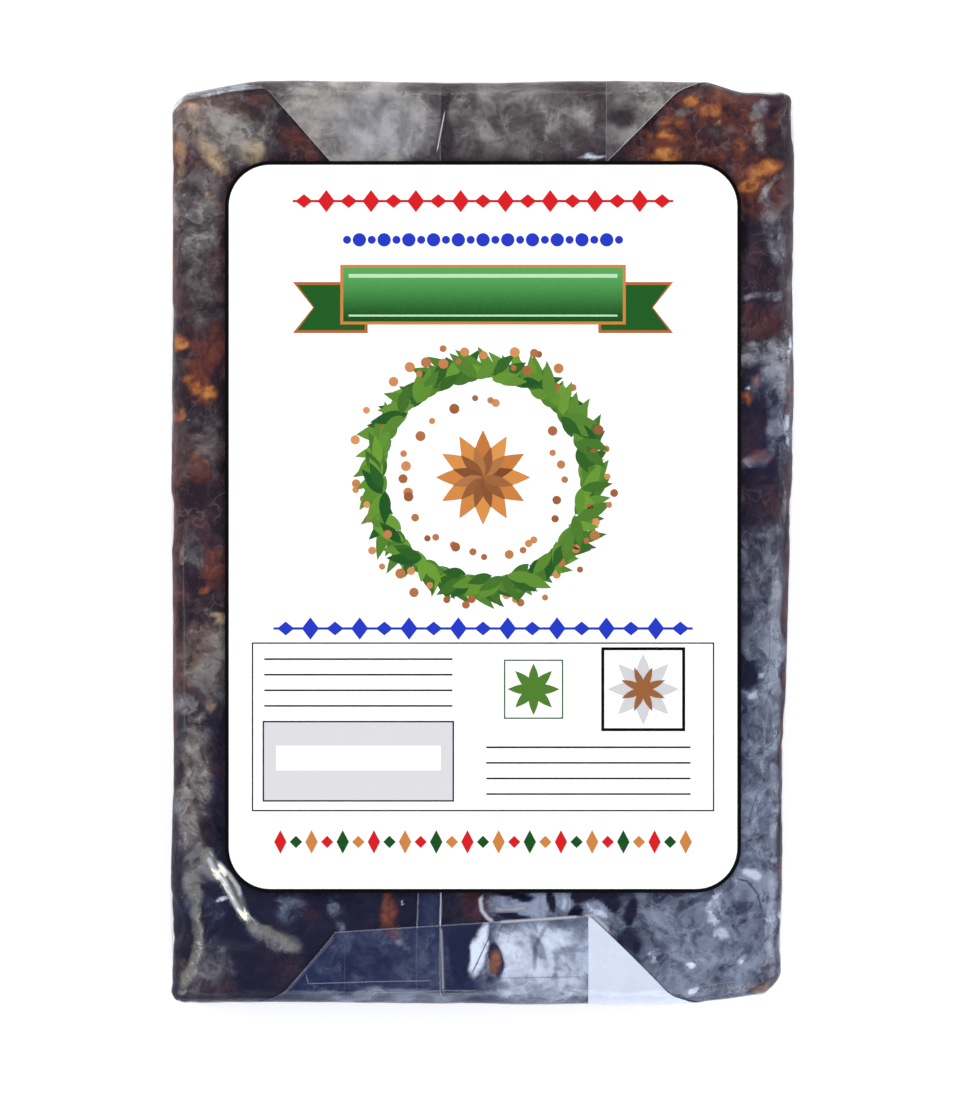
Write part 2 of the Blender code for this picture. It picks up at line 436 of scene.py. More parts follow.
@dataclass(frozen=True)
class FilmFinish:
    """Thin clear film: nearly unseen where it clings, milky where it stands off, with painted highlight lines
    on its edges, painted sheen and highlights, and a painted yellowish-to-bluish light tint.
    """

    name: str
    clear: float = 0.05
    milk: float = 0.86
    # How opaque the painted edge lines are.
    edge: float = 0.60
    dips: float = 0.12
    curl: float = 0.14
    cling: float = 6.0
    patch: float = 0.8
    side_strip: Point2 = (46.5, 50.5)
    # The slant of the painted highlight flecks along the ribs.
    ribbon: float = math.radians(55)

    def build(self) -> Material:
        """Makes the material.

        Returns:
            The material.
        """
        graph = Graph.of_material(self.name)
        place = graph.millimetres()
        haze, cool, gleam, glint, edge = (graph.attribute(veil.value) for veil in Veil)
        swirled = graph.warped(place, 9.0, 7.0)
        clouds = graph.noise(swirled, 4.5, 3.0, 0.55)
        fine = graph.noise(place, 1.0, 3.0, 0.6)
        cling = graph.noise(swirled, self.cling, 3.0, 0.5) + (fine - 0.5) * 0.08
        touches = cling.rise(0.53, 0.57) * (1.0 - haze * 0.7)
        # Painted highlight rims along the edges of the clinging patches.
        painted_rim_highlights = cling.crest(0.535, 0.012) * graph.noise(place, 7.0, 1.0).rise(0.45, 0.60)
        mottle = graph.noise(swirled, 1.9, 3.0, 0.6) - 0.5
        curled = graph.noise(graph.warped(place, 2.6, 3.6), 3.4, 1.0)
        curls = curled.crest(0.5, 0.08) * graph.noise(place, 5.0, 1.0).rise(0.48, 0.60)
        islands = graph.noise(swirled, 2.8, 4.0, 0.6).rise(0.47, 0.53) - 0.5
        patchy = (clouds - 0.5) * 0.8 + (mottle + islands * 0.38) * self.patch + (fine - 0.5) * 0.4
        veil = haze * (1.0 + patchy) + patchy * 0.05 - touches * self.dips + painted_rim_highlights * (0.06 + haze * 0.2)
        # The ribs' painted highlights also thicken the veil.
        veil = (veil + curls * self.curl * (0.3 + haze) + glint * 0.8).clamped()
        # Painted sheen.
        bright = (gleam * (1.0 + patchy * 0.7) + patchy * 0.10).rise(0.20, 0.95)
        # Painted highlights along the ribs, broken into slanted flecks.
        turned = {"Vector": graph.warped(place, 4.0, 1.4), "Rotation": (0.0, 0.0, self.ribbon)}
        slanted = graph.add("ShaderNodeMapping", {}, turned)
        flecks = graph.noise(graph.stretched(slanted, (0.25, 1.0, 1.0)), 1.0, 2.0).rise(0.42, 0.60)
        painted_fleck_highlights = (glint * (0.45 + flecks * 0.75)).rise(0.50, 1.0)
        # Milk colours under a painted yellowish light and a painted bluish light.
        yellow_lit_milk = graph.mix(clouds.rise(0.35, 0.65), (0.235, 0.222, 0.208), (0.39, 0.375, 0.36))
        blue_lit_milk = graph.mix(clouds.rise(0.35, 0.65), (0.150, 0.178, 0.262), (0.250, 0.298, 0.41))
        milky = graph.mix(cool, yellow_lit_milk, blue_lit_milk)
        # The clear film's colour, tinted by the same painted light.
        thin = graph.mix(cool, (0.056, 0.046, 0.054), (0.026, 0.038, 0.115))
        colour = graph.mix(veil.rise(0.06, 0.60), thin, milky)
        # Painted highlights: an olive body along the ribs, the edge lines, the sheen and the bright flecks.
        colour = graph.mix(glint.rise(0.0, 0.5) * 0.75, colour, (0.22, 0.22, 0.17))
        colour = graph.mix((edge * 1.2).clamped(), colour, (0.60, 0.62, 0.67))
        colour = graph.mix(bright, colour, (0.60, 0.67, 0.79))
        colour = graph.mix(painted_fleck_highlights, colour, (0.90, 0.89, 0.74))
        # The painted edge lines, sheen and flecks also make the film less clear.
        alpha = self.clear + self.milk * veil + abs(edge) * self.edge + bright * 0.7 + painted_fleck_highlights * 0.8
        aside = abs(graph.add("ShaderNodeSeparateXYZ", {}, {0: place})).rise(*self.side_strip)
        lengthwise = graph.noise(graph.stretched(swirled, (1.0, 0.16, 1.0)), 2.0, 3.0)
        crosswise = graph.noise(graph.stretched(swirled, (0.3, 1.0, 1.0)), 2.6, 3.0)
        relief = lengthwise * aside + crosswise * (1.0 - aside) + clouds * 0.6 + cling * 0.5
        return graph.finish(
            Base_Color=colour,
            Roughness=0.08 + 0.20 * veil,
            IOR=1.55,
            Alpha=alpha.clamped(),
            Normal=graph.bump(relief, 0.45 * MM),
        )


@dataclass(frozen=True)
class PaperFinish:
    """Smooth white label paper with a faint mottle and a low sheen."""

    white: Colour = (0.93, 0.93, 0.93)

    def build(self) -> Material:
        """Makes the material.

        Returns:
            The material.
        """
        graph = Graph.of_material("label_paper")
        place = graph.millimetres()
        mottle = graph.noise(place, 0.7, 4.0, 0.7)
        colour = graph.mix(mottle * 0.06, self.white, (0.84, 0.84, 0.86))
        return graph.finish(
            Base_Color=colour,
            Roughness=0.42 + 0.1 * mottle,
            Normal=graph.bump(mottle, 0.01 * MM),
        )


@dataclass(frozen=True)
class InkFinish:
    """A printed colour: slightly uneven, as ink lies on paper, with a darker shade towards one end."""

    name: str
    colour: Colour
    shade: Colour
    span: Point2 = (-1.0, 1.0)
    gradient: float = 0.0

    def build(self) -> Material:
        """Makes the material.

        Returns:
            The material.
        """
        graph = Graph.of_material(self.name)
        place = graph.millimetres()
        height = graph.add("ShaderNodeSeparateXYZ", {}, {0: place}, out=1)
        spread = graph.attribute("tone") + (height.rise(*self.span) - 0.5) * self.gradient
        uneven = (graph.noise(place, 0.5, 3.0) - 0.5) * 0.16
        colour = graph.mix((spread + uneven).clamped(), self.colour, self.shade)
        return graph.finish(Base_Color=colour, Roughness=0.55, Specular_IOR_Level=0.05)


@dataclass(frozen=True)
class Spot:
    """A place on the front that differs from what is round it, in millimetres and degrees."""

    x: float
    y: float
    long: float
    wide: float
    turn: float = 0.0
    strength: float = 1.0

    def reach(self, places: np.ndarray) -> np.ndarray:
        """How strongly the spot shows at each place.

        Args:
            places: rows of x and y in millimetres.

        Returns:
            From 0 to 1 for each row, about half at the spot's outline.
        """
        angle = math.radians(self.turn)
        across, up = places[:, 0] - self.x, places[:, 1] - self.y
        along = (across * math.cos(angle) + up * math.sin(angle)) * 2 / self.long
        aside = (up * math.cos(angle) - across * math.sin(angle)) * 2 / self.wide
        share = np.clip((1.45 - np.hypot(along, aside)) / 0.9, 0.0, 1.0)
        return share * share * (3.0 - 2.0 * share)


def paint(
    points: np.ndarray, rows: Iterable[tuple[float, ...]], wobble: float = 1.2, swirl: float = 4.0
) -> np.ndarray:
    """Lays spots over the points. A spot of negative strength takes away from the others.

    Args:
        points: rows of x, y and z in metres.
        rows: the fields of each spot, in their order.
        wobble: how far the spots' outlines wander, in millimetres.
        swirl: how long the wandering's bends are, in millimetres.

    Returns:
        The strength at each point.
    """
    push = np.array([noise.noise_vector(Vector(row) / (swirl * MM)) for row in points])[:, :2]
    places = points[:, :2] / MM + push * wobble
    more, less = np.zeros(len(points)), np.zeros(len(points))
    for row in rows:
        spot = Spot(*row)
        shown = spot.reach(places) * abs(spot.strength)
        if spot.strength > 0:
            more = np.maximum(more, shown)
        else:
            less = np.maximum(less, shown)
    return more - less


@dataclass(frozen=True)
class Crease:
    """A ridge in the film on the front, along a line of points in millimetres."""

    points: tuple[Point2, ...]
    height: float
    width: float

    def rise(self, x: float, y: float) -> float:
        """The ridge's height over a place.

        Args:
            x: the place's x in metres.
            y: its y in metres.

        Returns:
            The height in metres.
        """
        place = Vector((x / MM, y / MM))
        best, share = 1e9, 0.0
        for i, (start, end) in enumerate(zip(self.points, self.points[1:], strict=False)):
            first, along = Vector(start), Vector(end) - Vector(start)
            t = min(max((place - first).dot(along) / along.length_squared, 0.0), 1.0)
            distance = (place - first - along * t).length
            if distance < best:
                best, share = distance, (i + t) / (len(self.points) - 1)
        fade = math.sin(math.pi * min(max(share, 0.02), 0.98)) ** 0.5
        return self.height * MM * fade * math.exp(-((best / self.width) ** 2))


@dataclass(frozen=True)
class Corner:
    """How a corner of the brick's plan departs from a plain round one."""

    depth: float
    width: float
    full: float
    sharp: float


@dataclass(frozen=True)
class BrickForm:
    """The wrapped brick's surface, the same as the CAD's: round edges, a leaning side, pressed corners."""

    width: float = 116.2 * MM
    height: float = 171.6 * MM
    thickness: float = 19.6 * MM
    edge_radius: float = 3.6 * MM
    right_lean: float = 2.3 * MM
    right_lean_from: float = 50.0 * MM
    wave_height: float = 0.5 * MM
    wave_length: float = 26.0 * MM
    corners: dict[tuple[Side, End], "Corner"] = field(
        default_factory=lambda: {
            (Side.LEFT, End.TOP): Corner(2.8 * MM, 19.0 * MM, 1.3, 0.0),
            (Side.RIGHT, End.TOP): Corner(1.8 * MM, 17.0 * MM, 0.5, 1.2 * MM),
            (Side.LEFT, End.BOTTOM): Corner(0.3 * MM, 6.0 * MM, 1.0, 1.4 * MM),
            (Side.RIGHT, End.BOTTOM): Corner(3.4 * MM, 24.0 * MM, 1.6, -0.6 * MM),
        }
    )
    label_low: Vector = field(default_factory=lambda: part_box("label")[0])
    label_high: Vector = field(default_factory=lambda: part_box("label")[1])

    @property
    def half(self) -> Vector:
        """Half its size."""
        return Vector((self.width, self.height, self.thickness)) / 2

    def rounded(self, point: Vector) -> tuple[Vector, Vector]:
        """The point of the round-edged brick that a point of the sharp box stands for.

        Args:
            point: a point on the sharp box round the brick's middle.

        Returns:
            The point on the brick, and the way out of it.
        """
        half, radius = self.half, self.edge_radius
        core = Vector([min(max(point[i], radius - half[i]), half[i] - radius) for i in range(3)])
        normal = (point - core).normalized()
        return core + normal * radius, normal

    def pulled_in(self, point: Vector) -> Vector:
        """Leans the right side in towards the bottom, and presses the corners in.

        Args:
            point: a point round the brick's middle.

        Returns:
            The point where it ends up.
        """
        x, y, z = point
        half = self.half
        if x > 0.0:
            x -= self.right_lean * smoothstep(self.right_lean_from, -half.y, y) * x / half.x
        side = Side.RIGHT if point.x > 0.0 else Side.LEFT
        end = End.TOP if y > 0.0 else End.BOTTOM
        corner = self.corners[side, end]
        near = 1.0 - (half.x - abs(point.x)) / corner.width
        at_side = max(1.0 - (half.x - abs(point.x)) / self.edge_radius, 0.0)
        at_end = max(1.0 - (half.y - abs(point.y)) / self.edge_radius, 0.0)
        push = corner.sharp * at_side * at_end
        y -= corner.depth * smoothstep(0.0, corner.full, near) * y / half.y
        return Vector((x + math.copysign(1.0, x) * push, y + math.copysign(1.0, y) * push, z))

    def beyond_label(self, x: float, y: float) -> float:
        """How far out of the label's flat bed a place is.

        Args:
            x: the place's x.
            y: its y.

        Returns:
            0 under the label, rising to 1 a little way outside it.
        """
        middle = (self.label_low + self.label_high) / 2
        size = self.label_high - self.label_low
        past = max(abs(x - middle.x) - size.x / 2, abs(y - middle.y) - size.y / 2)
        return smoothstep(1.5 * MM, 8.5 * MM, past)

    def wave(self, point: Vector, normal: Vector) -> float:
        """Low waves, none on the back and under the label.

        Args:
            point: a point on the brick.
            normal: the way out of it.

        Returns:
            The height in metres.
        """
        strength = smoothstep(-0.9, -0.2, normal.z)
        if normal.z > 0.5:
            strength *= self.beyond_label(point.x, point.y)
        return self.wave_height * strength * noise.noise(point / self.wave_length)

    def surface(self, point: Vector, raised: Raised) -> Vector:
        """A point over the brick's surface.

        Args:
            point: a point on the sharp box round the brick's middle.
            raised: gives the height over the surface from the point on it and the way out.

        Returns:
            The point, with the brick's back at height 0.
        """
        on, normal = self.rounded(point)
        height = self.wave(on, normal) + raised(on, normal)
        place = self.pulled_in(on + normal * height)
        place.z += self.half.z
        return place

    def skin(self, step: float, raised: Raised) -> Mesh:
        """A closed mesh round the whole brick.

        Args:
            step: the size of its cells.
            raised: as for surface.

        Returns:
            The mesh.
        """
        lines = [self._lines(half, step) for half in self.half]
        points: list[Vector] = []
        numbers: dict[tuple[int, ...], int] = {}
        faces: list[tuple[int, ...]] = []
        for axis in range(3):
            first, second = (axis + 1) % 3, (axis + 2) % 3
            for end in (0, len(lines[axis]) - 1):
                for i in range(len(lines[first]) - 1):
                    for j in range(len(lines[second]) - 1):
                        ring = []
                        for di, dj in ((0, 0), (1, 0), (1, 1), (0, 1)):
                            key = [0, 0, 0]
                            key[axis], key[first], key[second] = end, i + di, j + dj
                            number = numbers.setdefault(tuple(key), len(points))
                            if number == len(points):
                                points.append(Vector([lines[a][key[a]] for a in range(3)]))
                            ring.append(number)
                        faces.append(tuple(ring if end else ring[::-1]))
        mesh = bpy.data.meshes.new("skin")
        mesh.from_pydata([self.surface(point, raised) for point in points], [], faces)
        return mesh

    def _lines(self, half: float, step: float) -> list[float]:
        """Where a side of the sharp box is cut: evenly, and by equal turns round its edges.

        Args:
            half: half the side's length.
            step: the size of a cell.

        Returns:
            The places of the cuts.
        """
        flat = half - self.edge_radius
        turns = max(round(self.edge_radius / step), 2)
        bends = [flat + self.edge_radius * math.tan(math.pi / 4 * i / turns) for i in range(1, turns + 1)]
        return [-place for place in bends[::-1]] + even_steps(-flat, flat, step) + bends

    def end_point(self, end: End, x: float, along: float) -> Vector:
        """A point of the sharp box, on the way up an end and over the front.

        Args:
            end: the end.
            x: the point's x.
            along: how far along the way it is, from the back edge.

        Returns:
            The point.
        """
        half = self.half
        if along <= self.thickness:
            return Vector((x, end.value * half.y, along - half.z))
        return Vector((x, end.value * (half.y - (along - self.thickness)), half.z))


def hollow(point: Vector) -> float:
    """Depth of the pressed pulp's hollows, as in the CAD, with finer ones between.

    Args:
        point: a point on the brick, round its middle.

    Returns:
        The depth in metres.
    """
    broad = max(noise.noise(point / (12.5 * MM) + Vector((3.1, 7.7, 1.3))), 0.0)
    crease = 1.0 - abs(noise.noise(point / (6.5 * MM) + Vector((9.4, 2.2, 5.8)))) * 4.0
    return 1.9 * MM * broad + 1.1 * MM * max(crease, 0.0) * broad**0.5


# Painted light tint of the film and the pulp: yellowish light at the top, bluish light at the bottom, and
# these places beside that.
PAINTED_LIGHT_TINT_SPOTS = (
    (-19, 77, 17, 12, 0, 0.25), (53, 82, 5, 6, 0, 0.6), (52, 52, 12, 24, 0, 0.38),
    (52.5, 25, 12, 26, 0, 0.45), (53.2, 63, 3, 6, 0, 0.3), (-52, -20, 12, 24, 0, -0.4),
    (-53.6, -48, 6.5, 36, 0, -0.7), (-51.5, -80, 10, 12, 0, -0.6), (-53, -77, 5.5, 16, 0, -0.45),
    (-38.5, -74, 10, 5, -28, -0.55), (-50.4, -82, 9, 6, 0, -0.4),
)


def painted_light_tint_strength(points: np.ndarray) -> np.ndarray:
    """How strongly the painted bluish light tints the colours, from 0 to 1."""
    slope = 0.40 - points[:, 1] / (80 * MM) + points[:, 0] / (220 * MM)
    return np.clip(np.clip(slope, 0.0, 1.0) + paint(points, PAINTED_LIGHT_TINT_SPOTS), 0.0, 1.0)


@dataclass
class PulpBlock:
    """The pressed pulp, with its lumps and its fibres."""

    form: BrickForm
    node: str = "pulp_block"
    slot: str = "tamarind_pulp"
    step: float = 0.8 * MM
    inset: float = 0.5 * MM
    side_inset: float = 0.22 * MM
    corner_gap: float = 1.0 * MM
    spots: dict[Tone, Rows] = field(
        default_factory=lambda: {
            Tone.AMBER: (
                (-51, 79, 13, 9, 0, 0.3), (38.8, 82.4, 2.9, 2.2, 15, 0.75), (42.2, 80.4, 4, 2.4, 0, 0.8),
                (43.6, 82.6, 1, 3.6, 0, 0.6), (35, 78.4, 4.6, 1.8, 0, 0.6), (33.1, 75.8, 7, 1.6, -4, 0.75),
                (34.4, 72.2, 6, 2.8, 0, 0.9), (26.4, 78.4, 5.4, 3.2, -15, 1.1),
                (47.9, 73.8, 3.2, 1.8, 0, 0.6), (52, 69.6, 7.4, 2.8, 18, 0.75),
                (49.5, 66.4, 6.4, 2.4, 20, 0.85), (-56.3, 37.2, 2.6, 3.2, 0, 0.72),
                (-51, 27.8, 2.6, 3.8, 0, 0.9), (-53.2, 28.8, 3, 2, -20, 0.65),
                (-54.7, 31.1, 2.2, 2.2, 0, 0.5), (-56.4, 23.6, 2.4, 2.6, 0, 0.72),
                (-53.6, 16.2, 1.6, 2.2, 0, 0.55), (-51.9, -8.6, 2.8, 2.2, 0, 0.55),
                (49, 27, 3, 2.4, -30, 0.55), (51.4, 30, 1.6, 2, 0, 0.45), (56.8, 26.4, 1.2, 6.4, 0, 0.6),
                (50, 15.4, 4, 1.6, 0, 0.5), (-17.6, -68.6, 2.6, 8, 0, 0.44), (-16.2, -73.4, 2, 3.4, 30, 0.66),
                (2.4, -77.9, 2.4, 4.8, 0, 1), (52, -83.2, 4.4, 1.8, 30, 0.5), (-56.4, 76, 1.8, 12, 0, 0.42),
                (-54, 81, 4.5, 1.8, -15, 0.6), (-57, 60, 1.2, 26, 0, 0.3),
            ),
            Tone.BEIGE: (
                (-53.6, 79.2, 3, 4.8, 10, 0.8), (-48.2, 76.8, 3.4, 2.6, -30, 0.8),
                (-50.2, 72.2, 9, 3.6, -55, 0.85), (-43, 72.7, 5.2, 5.4, 0, 0.8),
                (-56.2, 74, 1.8, 16, 0, 0.45), (-50.8, 64.8, 2.4, 1.5, 0, 0.65),
                (-28.3, 75.2, 2.6, 3.8, 10, 1.1), (-27.3, 77.7, 1.4, 5, 0, 0.4),
                (-49.9, -12.8, 4.2, 1.2, -8, 0.85), (-48.6, -14.2, 3, 1.1, -12, 0.85),
                (-50.6, -30.1, 2.2, 3.2, 0, 0.55), (-52.8, -22, 2, 8, 20, 0.35), (-56, -2, 1.4, 5, 0, 0.5),
                (44, 78, 1, 2.6, 0, 0.4), (52.2, -83, 4.6, 2.2, 30, 0.7), (48, 31.6, 1.8, 1.6, 0, 0.45),
            ),
            Tone.RED: (
                (-49, 78, 20, 14, 0, 0.34), (-53, -22, 9, 15, 0, 0.55), (-41.8, 82, 5.5, 3.5, 0, 0.55),
                (-47, 82.6, 8, 3, 0, 0.35), (-34.6, 74.4, 9, 5, -48, 0.62), (-50.8, 33, 9, 16, 0, 0.8),
                (-48.6, 30, 4, 7, 0, -0.7), (-52.6, 14.4, 4, 8, 0, 0.65), (-50, -4.6, 4.6, 7, 0, 0.7),
                (-51.5, -17, 8, 5, 0, 0.5), (44, 78, 22, 18, 0, 0.75), (33, 74, 12, 7, 0, 0.7),
                (50.5, 66, 13, 12, 0, 0.8), (42, 75, 7, 4, -20, -0.3), (51, 52, 11, 12, 0, 0.12),
                (51.5, 41, 10, 7, 0, 0.4), (52, 16, 5, 2.4, 10, 0.8), (-1, -67, 6, 7, 0, 0.6),
                (-17.4, -69.4, 3.4, 9, 0, 0.62), (-32.4, -69, 4.6, 2.6, -30, 0.26), (27, -75, 5, 5, 0, 0.12),
                (52.4, -79, 5, 8, 0, 0.45), (-38, -78, 10, 6, 0, 0.2), (56.2, -28, 94, 1.7, 88.4, 0.4),
                (-57.2, -5, 1.6, 70, 0, 0.5), (50.5, -83, 8, 3, 0, 0.7),
            ),
        }
    )

    def raised(self, point: Vector, normal: Vector) -> float:
        """The pulp's height over the wrapped brick's surface.

        Args:
            point: a point on the brick.
            normal: the way out of it.

        Returns:
            The height in metres, below 0.
        """
        fine = noise.fractal(point / (3.2 * MM), 0.9, 2.2, 3) * 0.22 * MM
        inset = self.side_inset + (self.inset - self.side_inset) * abs(normal.z)
        gap = smoothstep(-24 * MM, -38 * MM, point.x) * max(normal.y, 0.0) * self.corner_gap
        return -inset - gap - hollow(point) * (0.45 + 0.55 * abs(normal.z)) + min(fine, 0.02 * MM)

    def shade(self, mesh: Mesh) -> None:
        """Stores how amber, pale-flecked and red each place is, the pale flecks partly painted highlights,
        and the painted light tint.

        Args:
            mesh: the pulp's mesh.
        """
        points = points_of(mesh)
        front = np.clip((points[:, 2] - self.form.half.z) / (4 * MM), 0.0, 1.0)
        rest = np.array([noise.noise(Vector(row) / (13.0 * MM) + Vector((4, 4, 4))) for row in points])
        levels = {Tone.AMBER: (-1, 0.30), Tone.BEIGE: (-1, 0.42), Tone.RED: (1, 0.05)}
        for tone, rows in self.spots.items():
            way, least = levels[tone]
            other = np.clip((rest * way - least) * 2.0, 0.0, 0.45) * (1.0 - front)
            set_attribute(mesh, tone.value, paint(points, rows, 0.9, 2.6) * front + other)
        # The painted light tint.
        set_attribute(mesh, Veil.COOL.value, painted_light_tint_strength(points))

    def build(self) -> Object:
        """Builds and dresses the pulp.

        Returns:
            The piece.
        """
        mesh = self.form.skin(self.step, self.raised)
        self.shade(mesh)
        return place_piece(new_piece("pressed_pulp", mesh, [PulpFinish().build()]), self.node)


@dataclass(frozen=True)
class FoldLine:
    """A sharp crease or a cut edge in the film, drawn along points in millimetres. Its light is the strength
    of the painted highlight along it, or of a painted dark line where negative.
    """

    points: tuple[Point2, ...]
    width: float = 0.22
    light: float = 0.6
    lift: float = 0.30


